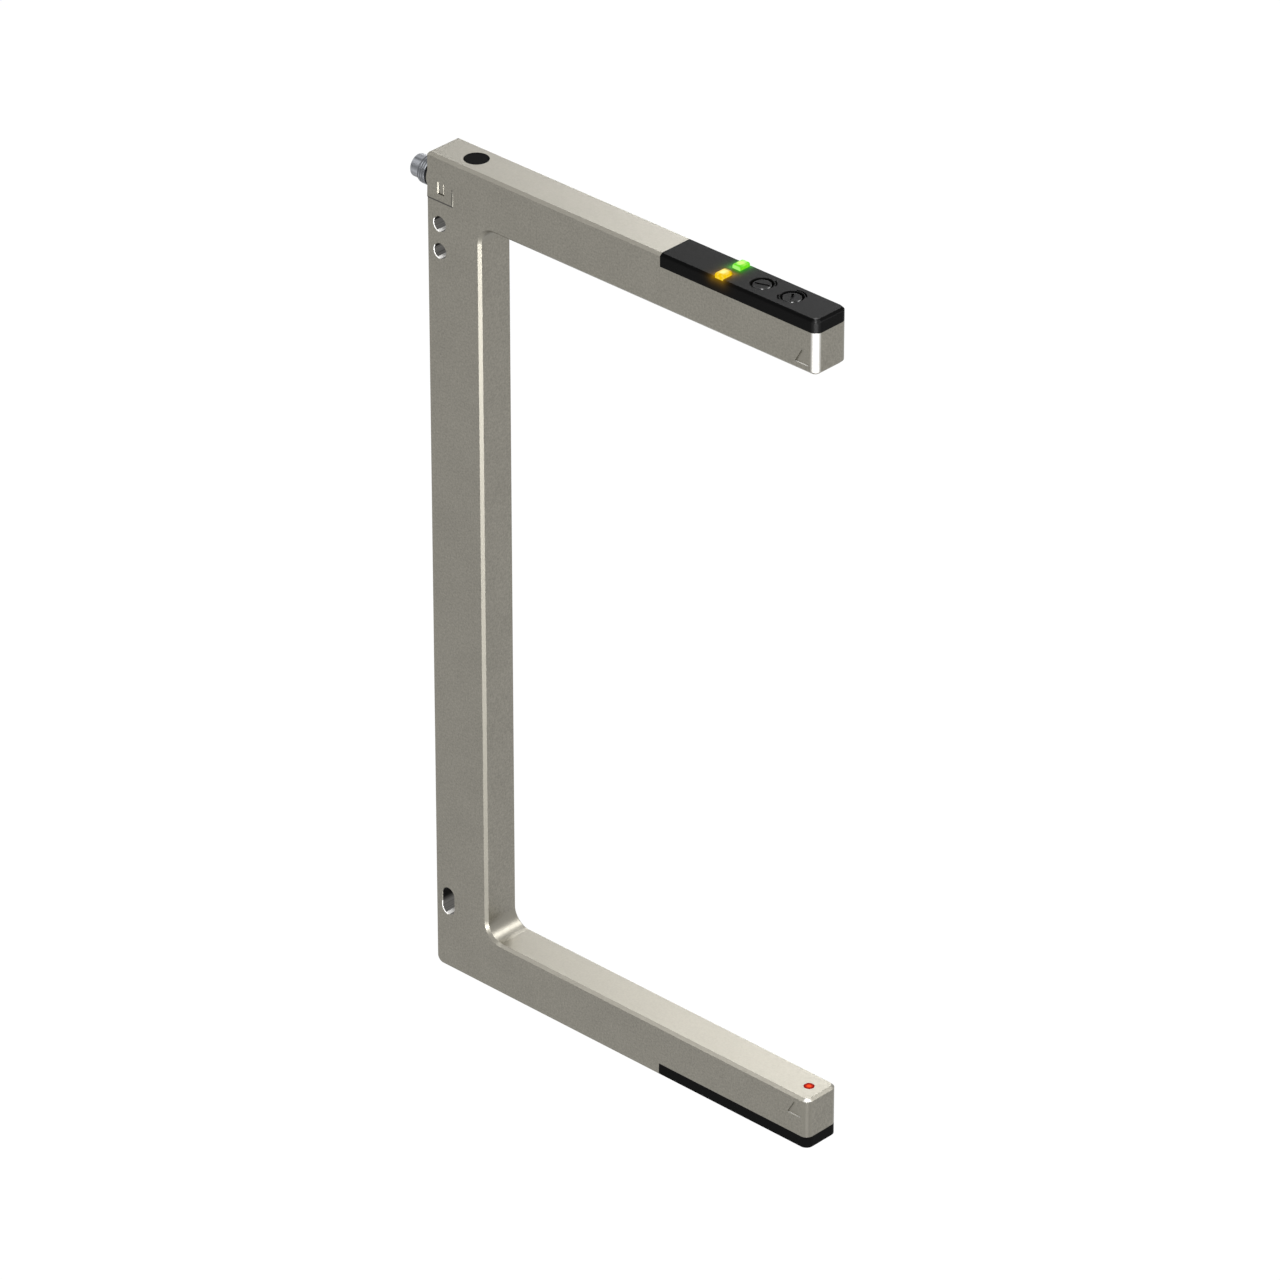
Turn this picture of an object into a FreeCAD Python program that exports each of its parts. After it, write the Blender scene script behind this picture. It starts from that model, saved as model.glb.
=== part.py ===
import FreeCAD, Part
import os

import Sketcher

# Fork light barrier: a cast C frame whose two arms face each other across an open slot.
# The lower arm sends a beam of light up to the upper arm, which carries the controls.
# Row frame: the origin is the centre of the two round fixing holes at mid thickness,
# X points along the arms towards their tips, Y through the frame, Z up. Millimetres.
SIZES = {
    # the cast frame
    "slot_opening": 220.0,
    "throat_depth": 119.3,
    "spine_width": 19.0,
    "thickness": 12.0,
    "upper_arm": 15.9,
    "lower_arm": 15.3,
    "edge_chamfer": 0.8,
    "throat_radius": 5.0,
    "tip_radius": 2.15,
    "foot_radius": 2.0,
    "crown_radius": 0.7,
    # fixing holes in the spine
    "hole_radius": 2.2,
    "hole_inset": 4.3,
    "hole_drop": 20.0,
    "hole_spacing": 8.0,
    "hole_chamfer": 0.15,
    "slot_rise": 21.0,
    "slot_run": 4.0,
    # cored hollows for boards and wires
    "rim_wall": 1.4,
    "seal_ledge": 0.7,
    "floor_wall": 1.8,
    "bore_radius": 2.6,
    "channel_radius": 2.75,
    "channel_setback": 6.7,
    "lower_bore_rise": 8.0,
    "disc_radius": 3.5,
    "disc_thickness": 1.2,
    "post_radius": 1.2,
    "post_offset": 10.4,
    "post_inset": 17.4,
    # marks and pads on the flat sides
    "mark_side": 4.9,
    "mark_depth": 0.45,
    "mark_rise": 4.2,
    "pad_proud": 0.2,
    "pad_width": 9.25,
    "pad_drop": 12.95,
    "pad_height": 4.8,
    "pad_bevel": 0.5,
    # covers
    "cover_length": 54.4,
    "upper_cover": 3.8,
    "lower_cover": 3.3,
    "cover_roof": 1.6,
    "skirt_depth": 1.5,
    "cover_seal": 0.6,
    "fit_gap": 0.05,
    # controls in the upper cover
    "trimmer_inset": 13.8,
    "mode_inset": 24.2,
    "well_radius": 3.05,
    "well_depth": 1.1,
    "well_chamfer": 0.22,
    "boss_radius": 3.4,
    "gland_depth": 0.9,
    "head_radius": 2.6,
    "head_recess": 0.2,
    "head_height": 0.85,
    "head_chamfer": 0.15,
    "shank_radius": 1.5,
    "ring_section": 0.36,
    "ring_gap": 0.01,
    "blade_setback": 0.3,
    "drive_depth": 1.2,
    "control_gap": 0.1,
    "notch_width": 0.7,
    "notch_length": 4.0,
    "notch_depth": 0.5,
    "mode_rest_angle": 20.0,
    "trimmer_rest_angle": 128.0,
    "groove_depth": 0.5,
    "crescent_start": 38.0,
    "crescent_sweep": 78.0,
    "tick_inner": 3.45,
    "tick_outer": 3.95,
    "mode_tick_start": 20.0,
    "mode_tick_sweep": 46.0,
    "trimmer_tick_start": 205.0,
    "trimmer_tick_sweep": 42.0,
    # light pipes
    "pipe_inset": 34.5,
    "pipe_width": 3.1,
    "pipe_corner": 0.8,
    "pipe_start": 1.15,
    "pipe_end": 5.45,
    "pipe_dome": 1.0,
    "pipe_round": 0.75,
    "leg_radius": 1.1,
    "leg_offset": 2.4,
    "leg_drop": 5.8,
    # boards and what they carry
    "board_drop": 7.5,
    "lower_board_rise": 5.0,
    "board_thickness": 1.0,
    "board_gap": 0.2,
    "chip_height": 1.2,
    "small_part_height": 0.8,
    "indicator_height": 0.6,
    "indicator_length": 1.8,
    "indicator_width": 1.1,
    "base_side": 5.6,
    "header_start": 2.0,
    "header_length": 5.0,
    "header_width": 4.8,
    "header_margin": 0.3,
    "part_setback": 3.9,
    "part_pitch": 3.5,
    "part_length": 2.0,
    "part_width": 1.2,
    "part_spread": 1.8,
    "chip_setback": 6.6,
    "chip_side": 4.6,
    # beam optics
    "beam_inset": 4.9,
    "lens_radius": 1.5,
    "lens_flange_radius": 2.5,
    "lens_flange": 0.8,
    "lens_bulge": 0.5,
    "tube_radius": 2.6,
    "tube_bore": 2.2,
    "die_side": 3.0,
    "die_height": 1.0,
    "dome_radius": 1.2,
    "dome_foot": 0.4,
    "dome_height": 1.0,
    # round plug on the back of the spine
    "plug_drop": 9.35,
    "plug_gap": 1.45,
    "barrel_radius": 4.4,
    "shoulder_radius": 4.2,
    "shoulder_length": 2.4,
    "relief_radius": 3.3,
    "relief_length": 0.9,
    "thread_radius": 4.0,
    "thread_length": 2.9,
    "thread_chamfer": 0.4,
    "nose_radius": 3.25,
    "nose_length": 3.0,
    "nose_chamfer": 0.25,
    "socket_radius": 2.8,
    "socket_depth": 6.2,
    "seal_radius": 3.95,
    "seal_crown": 0.25,
    "pin_radius": 0.5,
    "pin_circle": 1.4,
    "pin_recess": 1.0,
    "pin_tail": 1.6,
    "key_radius": 0.6,
    # latch tongues of the plug and their windows
    "window_inset": 3.95,
    "window_width": 2.25,
    "window_height": 3.4,
    "window_chamfer": 0.3,
    "tongue_gap": 0.12,
    "tongue_depth": 0.2,
    "tongue_setback": 0.45,
    "tongue_ramp": 0.2,
    # wires
    "lead_radius": 0.35,
    "cable_width": 2.6,
    "cable_thickness": 0.9,
    "cable_drop": 1.65,
    "cable_bend": 3.0,
}

# Datum positions in the row frame, as expressions of the sizes above
BACK = "(-Sizes.hole_inset)"
THROAT = f"({BACK} + Sizes.spine_width)"
TIP = f"({THROAT} + Sizes.throat_depth)"
TOP = "(Sizes.hole_drop + Sizes.hole_spacing / 2)"
LINTEL = f"({TOP} - Sizes.upper_arm)"
SILL = f"({LINTEL} - Sizes.slot_opening)"
BOTTOM = f"({SILL} - Sizes.lower_arm)"
HALF = "(Sizes.thickness / 2)"
COVER_START = f"({TIP} - Sizes.cover_length)"
UPPER_SEAT = f"({TOP} - Sizes.upper_cover)"
LOWER_SEAT = f"({BOTTOM} + Sizes.lower_cover)"
RIM_HALF = f"({HALF} - Sizes.rim_wall)"
RIM_START = f"({COVER_START} + Sizes.rim_wall)"
RIM_END = f"({TIP} - Sizes.rim_wall)"
INNER_HALF = f"({RIM_HALF} - Sizes.seal_ledge)"
INNER_START = f"({RIM_START} + Sizes.seal_ledge)"
INNER_END = f"({RIM_END} - Sizes.seal_ledge)"
RIM_DEPTH = "(Sizes.skirt_depth + Sizes.cover_seal)"
UPPER_FLOOR = f"({LINTEL} + Sizes.floor_wall)"
LOWER_CEILING = f"({SILL} - Sizes.floor_wall)"
BEAM_X = f"({TIP} - Sizes.beam_inset)"
MODE_X = f"({TIP} - Sizes.mode_inset)"
TRIMMER_X = f"({TIP} - Sizes.trimmer_inset)"
PIPE_X = f"({TIP} - Sizes.pipe_inset)"
SLOT_Z = f"({BOTTOM} + Sizes.slot_rise)"
PLUG_Z = f"({TOP} - Sizes.plug_drop)"
LOWER_BORE_Z = f"({BOTTOM} + Sizes.lower_bore_rise)"
CHANNEL_X = f"({THROAT} - Sizes.channel_setback)"
BARREL_END = f"({CHANNEL_X} - Sizes.channel_radius - Sizes.plug_gap)"
BARREL_LENGTH = f"({BARREL_END} - {BACK})"
BARREL_BORE = "(Sizes.barrel_radius + Sizes.fit_gap)"
WINDOW_X = f"({BACK} + Sizes.window_inset)"
UPPER_BOARD = f"({TOP} - Sizes.board_drop)"
UPPER_BOARD_TOP = f"({UPPER_BOARD} + Sizes.board_thickness)"
LOWER_BOARD = f"({BOTTOM} + Sizes.lower_board_rise)"
LOWER_BOARD_TOP = f"({LOWER_BOARD} + Sizes.board_thickness)"
POST_X = (f"({INNER_START} + Sizes.post_offset)", f"({TIP} - Sizes.post_inset)")
HEADER_START = f"({INNER_START} + Sizes.header_start)"
HEADER_END = f"({HEADER_START} + Sizes.header_length)"
CABLE_TOP_Z = f"({PLUG_Z} - Sizes.cable_drop)"
SHANK_BORE = "(Sizes.shank_radius + Sizes.fit_gap)"
RING_CENTRE = "(Sizes.shank_radius + Sizes.ring_section)"
GLAND_RADIUS = f"({RING_CENTRE} + Sizes.ring_section)"
PIN_ANGLES = (0, 120, 240)
TICK_STEPS = 4
# the least volume in cubic millimetres that any feature adds or cuts
SMALLEST_CHANGE = 0.01

doc = FreeCAD.newDocument("ForkLightBarrier")
sheet = doc.addObject("Spreadsheet::Sheet", "Sizes")
for row, (alias, size) in enumerate(SIZES.items(), start=1):
    sheet.set(f"A{row}", str(size))
    sheet.setAlias(f"A{row}", alias)
doc.recompute()

parts = []


def value(expression):
    """The number that an expression of the sizes stands for."""
    return float(sheet.evalExpression(expression))


def new_body(name):
    """An empty body for one sub-part, which takes its name as its label."""
    body = doc.addObject("PartDesign::Body", name)
    body.Label = name
    parts.append(body)
    return body


def seat(part, along="0", across="0", up="0", turn=None):
    """Place a sub-part in the row frame, with its place tied to the sizes."""
    if turn is not None:
        part.Placement = FreeCAD.Placement(FreeCAD.Vector(0, 0, 0), turn)
    part.setExpression("Placement.Base.x", along)
    part.setExpression("Placement.Base.y", across)
    part.setExpression("Placement.Base.z", up)


def sketch_on(body, role, lift="0"):
    """A sketch on one of the body's own origin planes, lifted along the plane's normal."""
    plane = [item for item in body.Origin.OriginFeatures if item.Role == role][0]
    sketch = body.newObject("Sketcher::SketchObject", body.Name + "_sketch")
    sketch.AttachmentSupport = [(plane, "")]
    sketch.MapMode = "FlatFace"
    sketch.setExpression("AttachmentOffset.Base.z", lift)
    return sketch


def tie_point(sketch, geometry, vertex, along, up):
    """Fix a point of a sketch at a place given by two expressions."""
    for kind, expression in (("DistanceX", along), ("DistanceY", up)):
        start = value(expression)
        index = sketch.addConstraint(Sketcher.Constraint(kind, -1, 1, geometry, vertex, start))
        sketch.setExpression(f"Constraints[{index}]", expression)


def tie_radius(sketch, geometry, radius):
    """Give an arc or circle of a sketch its radius."""
    index = sketch.addConstraint(Sketcher.Constraint("Radius", geometry, value(radius)))
    sketch.setExpression(f"Constraints[{index}]", radius)


def add_polygon(sketch, corners):
    """A closed outline of straight lines through corners, each a pair of expressions."""
    points = [FreeCAD.Vector(value(along), value(up), 0) for along, up in corners]
    first = sketch.GeometryCount
    count = len(points)
    for step in range(count):
        line = Part.LineSegment(points[step], points[(step + 1) % count])
        sketch.addGeometry(line, False)
    for step in range(count):
        following = first + (step + 1) % count
        sketch.addConstraint(Sketcher.Constraint("Coincident", first + step, 2, following, 1))
    for step, (along, up) in enumerate(corners):
        tie_point(sketch, first + step, 1, along, up)
    return sketch


def add_rectangle(sketch, low, high):
    """A rectangle between two opposite corners, each a pair of expressions."""
    corners = [(low[0], low[1]), (high[0], low[1]), (high[0], high[1]), (low[0], high[1])]
    return add_polygon(sketch, corners)


def add_circle(sketch, along, up, radius):
    """A circle round a centre given by two expressions."""
    centre = FreeCAD.Vector(value(along), value(up), 0)
    circle = Part.Circle(centre, FreeCAD.Vector(0, 0, 1), value(radius))
    index = sketch.addGeometry(circle, False)
    tie_point(sketch, index, 3, along, up)
    tie_radius(sketch, index, radius)
    return sketch


def add_stadium(sketch, along, low, high, radius):
    """An upright slot outline: two half circles, centred at low and high, and two sides."""
    centre_x, low_y, high_y, reach = value(along), value(low), value(high), value(radius)
    corners = [
        FreeCAD.Vector(centre_x + reach, low_y, 0),
        FreeCAD.Vector(centre_x + reach, high_y, 0),
        FreeCAD.Vector(centre_x - reach, high_y, 0),
        FreeCAD.Vector(centre_x - reach, low_y, 0),
    ]
    crown = Part.Arc(corners[1], FreeCAD.Vector(centre_x, high_y + reach, 0), corners[2])
    foot = Part.Arc(corners[3], FreeCAD.Vector(centre_x, low_y - reach, 0), corners[0])
    right = sketch.addGeometry(Part.LineSegment(corners[0], corners[1]), False)
    top = sketch.addGeometry(crown, False)
    left = sketch.addGeometry(Part.LineSegment(corners[2], corners[3]), False)
    base = sketch.addGeometry(foot, False)
    chain = [right, top, left, base]
    for first, second in zip(chain, chain[1:] + chain[:1]):
        sketch.addConstraint(Sketcher.Constraint("Tangent", first, 2, second, 1))
    tie_point(sketch, top, 3, along, high)
    tie_point(sketch, base, 3, along, low)
    tie_radius(sketch, top, radius)
    return sketch


def pad(body, sketch, length, both_ways=False, backwards=False):
    """Add the outline of a sketch to a body over a length."""
    feature = body.newObject("PartDesign::Pad", body.Name + "_pad")
    feature.Profile = sketch
    feature.SideType = "Symmetric" if both_ways else "One side"
    feature.Reversed = backwards
    feature.setExpression("Length", length)
    return feature


def pocket(body, sketch, length, both_ways=False, backwards=False):
    """Cut the outline of a sketch from a body over a length, against the sketch's normal."""
    doc.recompute()
    feature = body.newObject("PartDesign::Pocket", body.Name + "_pocket")
    feature.Profile = sketch
    feature.SideType = "Symmetric" if both_ways else "One side"
    feature.Reversed = backwards
    feature.setExpression("Length", length)
    return feature


def block(body, low, high):
    """Add a box between two corners, each three expressions, to a body."""
    sketch = add_rectangle(sketch_on(body, "XY_Plane", low[2]), low[:2], high[:2])
    return pad(body, sketch, f"{high[2]} - {low[2]}")


def add_post(body, along, low, high):
    """Add a round post for a board to a body, between two heights."""
    post = add_circle(sketch_on(body, "XY_Plane", low), along, "0", "Sizes.post_radius")
    pad(body, post, f"{high} - {low}")


def revolve(body, profile):
    """Turn an outline of (radius, height) corners round the body's upright axis."""
    sketch = add_polygon(sketch_on(body, "XZ_Plane"), profile)
    feature = body.newObject("PartDesign::Revolution", body.Name + "_turning")
    feature.Profile = sketch
    feature.ReferenceAxis = (sketch, ["V_Axis"])
    feature.Angle = 360
    return feature


def edges_where(feature, test):
    """The names of a feature's edges whose middle point and ends pass a test."""
    doc.recompute()
    names = []
    for number, edge in enumerate(feature.Shape.Edges, start=1):
        middle = edge.valueAt((edge.FirstParameter + edge.LastParameter) / 2)
        if test(edge, middle):
            names.append(f"Edge{number}")
    if not names:
        raise RuntimeError(f"no edge of {feature.Label} passes the test")
    return names


def near(first, second, reach=0.01):
    """True where two numbers are the same to a hundredth of a millimetre."""
    return abs(first - second) < reach


def ends_share(edge, axis):
    """True where an edge's two ends and its middle have the same coordinate along an axis."""
    middle = edge.valueAt((edge.FirstParameter + edge.LastParameter) / 2)
    levels = [getattr(vertex.Point, axis) for vertex in edge.Vertexes]
    return all(near(level, getattr(middle, axis)) for level in levels)


def round_edges(body, base, test, radius):
    """Round the edges of a feature that pass a test."""
    names = edges_where(base, test)
    feature = body.newObject("PartDesign::Fillet", body.Name + "_round")
    feature.Base = (base, names)
    feature.setExpression("Radius", radius)
    return feature


def bevel_edges(body, base, test, size):
    """Chamfer the edges of a feature that pass a test."""
    names = edges_where(base, test)
    feature = body.newObject("PartDesign::Chamfer", body.Name + "_bevel")
    feature.Base = (base, names)
    feature.setExpression("Size", size)
    return feature


def cored_hollow(body, seat_z, end_z, sign):
    """Core a board hollow: a wide rim for the cover's skirt, then a ledge and the hollow."""
    rim = sketch_on(body, "XY_Plane", seat_z)
    add_rectangle(rim, (RIM_START, f"-{RIM_HALF}"), (RIM_END, RIM_HALF))
    pocket(body, rim, RIM_DEPTH, backwards=sign < 0)
    inner = sketch_on(body, "XY_Plane", seat_z)
    add_rectangle(inner, (INNER_START, f"-{INNER_HALF}"), (INNER_END, INNER_HALF))
    return pocket(body, inner, f"{sign} * ({seat_z} - {end_z})", backwards=sign < 0)


def frame_outline(housing):
    """The C outline through the full thickness, with its rounded corners."""
    outline = sketch_on(housing, "XZ_Plane")
    corners = [
        (BACK, BOTTOM),
        (TIP, BOTTOM),
        (TIP, SILL),
        (THROAT, SILL),
        (THROAT, LINTEL),
        (TIP, LINTEL),
        (TIP, TOP),
        (BACK, TOP),
    ]
    frame = pad(housing, add_polygon(outline, corners), "Sizes.thickness", both_ways=True)
    throat, tip, back = value(THROAT), value(TIP), value(BACK)
    sill, lintel, bottom = value(SILL), value(LINTEL), value(BOTTOM)

    def at_throat(edge, middle):
        corner = near(middle.z, sill) or near(middle.z, lintel)
        return near(middle.x, throat) and near(middle.y, 0) and corner

    def at_foot(edge, middle):
        return near(middle.x, back) and near(middle.y, 0) and near(middle.z, bottom)

    def at_tip(edge, middle):
        upright = ends_share(edge, "x") and ends_share(edge, "y")
        return near(middle.x, tip) and upright and not near(middle.y, 0)

    frame = round_edges(housing, frame, at_throat, "Sizes.throat_radius")
    frame = round_edges(housing, frame, at_foot, "Sizes.foot_radius")
    return round_edges(housing, frame, at_tip, "Sizes.tip_radius")


def frame_edges(housing, frame):
    """Cover rebates, then the bevels along the slot and the upper arm, and the crown."""
    rebates = sketch_on(housing, "XZ_Plane")
    beyond = f"{TIP} + Sizes.tip_radius"
    above = f"{TOP} + Sizes.upper_cover"
    below = f"{BOTTOM} - Sizes.lower_cover"
    add_rectangle(rebates, (COVER_START, UPPER_SEAT), (beyond, above))
    add_rectangle(rebates, (COVER_START, below), (beyond, LOWER_SEAT))
    frame = pocket(housing, rebates, "2 * Sizes.thickness", both_ways=True)
    half, top, back, tip = value(HALF), value(TOP), value(BACK), value(TIP)
    sill, lintel, throat = value(SILL), value(LINTEL), value(THROAT)
    radius = value("Sizes.throat_radius")

    def along_slot(edge, middle):
        if near(middle.z, sill) or near(middle.z, lintel):
            return ends_share(edge, "z") and middle.x > throat
        beside = near(abs(middle.y), half) and sill < middle.z < lintel
        return beside and throat - 0.01 < middle.x < throat + radius

    def along_top(edge, middle):
        return near(middle.z, top) and near(abs(middle.y), half) and ends_share(edge, "y")

    def at_crown(edge, middle):
        return near(middle.z, top) and near(middle.x, back)

    frame = bevel_edges(housing, frame, along_slot, "Sizes.edge_chamfer")
    frame = bevel_edges(housing, frame, along_top, "Sizes.edge_chamfer")
    return round_edges(housing, frame, at_crown, "Sizes.crown_radius")


def frame_pads(housing):
    """Wedge pads beside the plug, thickest at their lower edge and fading out upwards."""
    levels = (
        (f"{TOP} - Sizes.pad_drop - Sizes.pad_bevel", "0.01"),
        (f"{TOP} - Sizes.pad_drop", "Sizes.pad_proud"),
        (f"{TOP} - Sizes.pad_drop + Sizes.pad_height", "0.01"),
    )
    for side in (-1, 1):
        sections = []
        for level, proud in levels:
            section = sketch_on(housing, "XY_Plane", level)
            inner = f"{side} * ({HALF} - Sizes.pad_proud)"
            outer = f"{side} * ({HALF} + {proud})"
            edge_x = f"{BACK} + Sizes.pad_width"
            corners = [
                (BACK, inner),
                (f"{edge_x} + Sizes.pad_proud + {proud}", inner),
                (edge_x, outer),
                (BACK, outer),
            ]
            sections.append(add_polygon(section, corners))
        loft = housing.newObject("PartDesign::AdditiveLoft", "housing_wedge")
        loft.Profile = sections[0]
        loft.Sections = [(section, [""]) for section in sections[1:]]
        loft.Ruled = True
        doc.recompute()


def frame_holes(housing):
    """Fixing holes and slot with bevelled mouths, plug bore and latch windows."""
    holes = sketch_on(housing, "XZ_Plane")
    for side in (-1, 1):
        add_circle(holes, "0", f"{side} * Sizes.hole_spacing / 2", "Sizes.hole_radius")
    low = f"{SLOT_Z} - Sizes.slot_run / 2"
    high = f"{SLOT_Z} + Sizes.slot_run / 2"
    add_stadium(holes, "0", low, high, "Sizes.hole_radius")
    frame = pocket(housing, holes, "2 * Sizes.thickness", both_ways=True)
    half, reach = value(HALF), value("Sizes.hole_radius")
    lowest = value(low) - reach

    def at_mouth(edge, middle):
        inside = abs(middle.x) < reach + 0.01 and middle.z > lowest - 0.01
        clear = middle.z < value("Sizes.hole_spacing / 2") + reach + 0.01
        return near(abs(middle.y), half) and ends_share(edge, "y") and inside and clear

    bevel_edges(housing, frame, at_mouth, "Sizes.hole_chamfer")
    bore = add_circle(sketch_on(housing, "YZ_Plane", BARREL_END), "0", PLUG_Z, BARREL_BORE)
    pocket(housing, bore, f"2 * {BARREL_LENGTH}")
    window = sketch_on(housing, "XZ_Plane")
    half_height = "Sizes.window_height / 2"
    low_corner = (WINDOW_X, f"{PLUG_Z} - {half_height}")
    high_corner = (f"{WINDOW_X} + Sizes.window_width", f"{PLUG_Z} + {half_height}")
    add_rectangle(window, low_corner, high_corner)
    frame = pocket(housing, window, "2 * Sizes.thickness", both_ways=True)
    window_x, plug_z, half_window = value(WINDOW_X), value(PLUG_Z), value(half_height)

    def at_window(edge, middle):
        outside = abs(middle.y) > half - 0.01
        return near(middle.x, window_x) and outside and abs(middle.z - plug_z) < half_window - 0.01

    return bevel_edges(housing, frame, at_window, "Sizes.window_chamfer")


def frame_hollows(housing):
    """Board hollows, wire bores along the arms and the channel down the spine."""
    cored_hollow(housing, UPPER_SEAT, UPPER_FLOOR, 1)
    cored_hollow(housing, LOWER_SEAT, LOWER_CEILING, -1)
    beyond = f"{INNER_START} + Sizes.bore_radius"
    upper = add_circle(sketch_on(housing, "YZ_Plane", beyond), "0", PLUG_Z, "Sizes.bore_radius")
    pocket(housing, upper, f"{beyond} - {BARREL_END} + Sizes.plug_gap")
    lower = add_circle(sketch_on(housing, "YZ_Plane", beyond), "0", LOWER_BORE_Z, "Sizes.bore_radius")
    pocket(housing, lower, f"{beyond} - {CHANNEL_X}")
    channel = add_circle(sketch_on(housing, "XY_Plane", TOP), CHANNEL_X, "0", "Sizes.channel_radius")
    pocket(housing, channel, f"{TOP} - {LOWER_BORE_Z} + Sizes.bore_radius")
    mouth = add_circle(sketch_on(housing, "XY_Plane", TOP), CHANNEL_X, "0", "Sizes.disc_radius")
    pocket(housing, mouth, "Sizes.disc_thickness")
    for face, wall_end in ((LINTEL, UPPER_FLOOR), (LOWER_CEILING, SILL)):
        sight = add_circle(sketch_on(housing, "XY_Plane", wall_end), BEAM_X, "0", "Sizes.lens_radius")
        pocket(housing, sight, f"2 * ({wall_end} - {face})", both_ways=True)


def frame_details(housing):
    """Posts that carry the boards, and the triangle marks beside the beam."""
    for post_x in POST_X:
        add_post(housing, post_x, UPPER_FLOOR, UPPER_BOARD)
        add_post(housing, post_x, LOWER_BOARD_TOP, LOWER_CEILING)
    mark_height = "Sizes.mark_side * sqrt(3) / 2"
    upper_base = f"{LINTEL} + Sizes.mark_rise / 2"
    lower_base = f"{SILL} - Sizes.mark_rise / 2 - {mark_height}"
    for side in (-1, 1):
        marks = sketch_on(housing, "XZ_Plane", f"{-side} * {HALF}")
        for base in (upper_base, lower_base):
            corners = [
                (f"{BEAM_X} - Sizes.mark_side / 2", base),
                (f"{BEAM_X} + Sizes.mark_side / 2", base),
                (BEAM_X, f"{base} + {mark_height}"),
            ]
            add_polygon(marks, corners)
        pocket(housing, marks, "Sizes.mark_depth", backwards=side > 0)


def make_housing():
    """The cast frame: C outline, covers' rebates, fixing holes, plug bore and hollows."""
    housing = new_body("housing")
    frame = frame_outline(housing)
    frame_edges(housing, frame)
    frame_pads(housing)
    frame_holes(housing)
    frame_hollows(housing)
    frame_details(housing)


def cover_shell(name, low, high, roof_low):
    """A cover's block with rounded tip corners. roof_low says which side the roof is on."""
    cover = new_body(name)
    shell = block(cover, (COVER_START, f"-{HALF}", low), (TIP, HALF, high))
    tip = value(TIP)

    def at_tip(edge, middle):
        upright = ends_share(edge, "x") and ends_share(edge, "y")
        return near(middle.x, tip) and upright

    shell = round_edges(cover, shell, at_tip, "Sizes.tip_radius")
    if not roof_low:
        top = value(high)

        def along_top(edge, middle):
            return near(middle.z, top) and middle.x > value(COVER_START) + 0.1

        shell = bevel_edges(cover, shell, along_top, "Sizes.edge_chamfer")
    return cover


def cover_skirt(cover, seat_z, depth, upwards):
    """Hollow a cover from its seat, up or down, and add the skirt that enters the rim."""
    hollow = sketch_on(cover, "XY_Plane", seat_z)
    add_rectangle(hollow, (INNER_START, f"-{INNER_HALF}"), (INNER_END, INNER_HALF))
    pocket(cover, hollow, depth, backwards=upwards)
    skirt = sketch_on(cover, "XY_Plane", seat_z)
    outer_low = (f"{RIM_START} + Sizes.fit_gap", f"-({RIM_HALF} - Sizes.fit_gap)")
    outer_high = (f"{RIM_END} - Sizes.fit_gap", f"{RIM_HALF} - Sizes.fit_gap")
    add_rectangle(skirt, outer_low, outer_high)
    add_rectangle(skirt, (INNER_START, f"-{INNER_HALF}"), (INNER_END, INNER_HALF))
    pad(cover, skirt, "Sizes.skirt_depth", backwards=upwards)


def control_well(cover, centre):
    """The boss, well, shank bore and ring gland of one rotary control."""
    boss = add_circle(sketch_on(cover, "XY_Plane", UPPER_SEAT), centre, "0", "Sizes.boss_radius")
    pad(cover, boss, "Sizes.upper_cover - Sizes.cover_roof")
    well = add_circle(sketch_on(cover, "XY_Plane", TOP), centre, "0", "Sizes.well_radius")
    shell = pocket(cover, well, "Sizes.well_depth")
    centre_x, top = value(centre), value(TOP)

    def at_mouth(edge, middle):
        reach = ((middle.x - centre_x) ** 2 + middle.y ** 2) ** 0.5
        return near(middle.z, top) and near(reach, value("Sizes.well_radius"))

    bevel_edges(cover, shell, at_mouth, "Sizes.well_chamfer")
    bore = add_circle(sketch_on(cover, "XY_Plane", TOP), centre, "0", SHANK_BORE)
    pocket(cover, bore, "Sizes.upper_cover")
    gland = add_circle(sketch_on(cover, "XY_Plane", UPPER_SEAT), centre, "0", GLAND_RADIUS)
    pocket(cover, gland, "Sizes.gland_depth", backwards=True)


def tick_groove(cover, centre, start, sweep):
    """A short arc groove outside a well, from a start direction through a sweep in degrees."""
    sketch = sketch_on(cover, "XY_Plane", TOP)
    outer = [("Sizes.tick_outer", step / TICK_STEPS) for step in range(TICK_STEPS + 1)]
    inner = [("Sizes.tick_inner", step / TICK_STEPS) for step in range(TICK_STEPS, -1, -1)]
    corners = []
    for radius, share in outer + inner:
        direction = f"{start} + {share} * {sweep}"
        corners.append((f"{centre} + {radius} * cos({direction})", f"{radius} * sin({direction})"))
    add_polygon(sketch, corners)
    pocket(cover, sketch, "Sizes.groove_depth")


def pipe_corners(side, gap):
    """Two opposite corners of a light pipe's outline in the cover, grown by a gap."""
    reach = f"(Sizes.pipe_width / 2 + {gap})"
    inner = f"{side} * (Sizes.pipe_start - {gap})"
    outer = f"{side} * (Sizes.pipe_end + {gap})"
    low, high = (inner, outer) if side > 0 else (outer, inner)
    return (f"{PIPE_X} - {reach}", low), (f"{PIPE_X} + {reach}", high)


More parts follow.
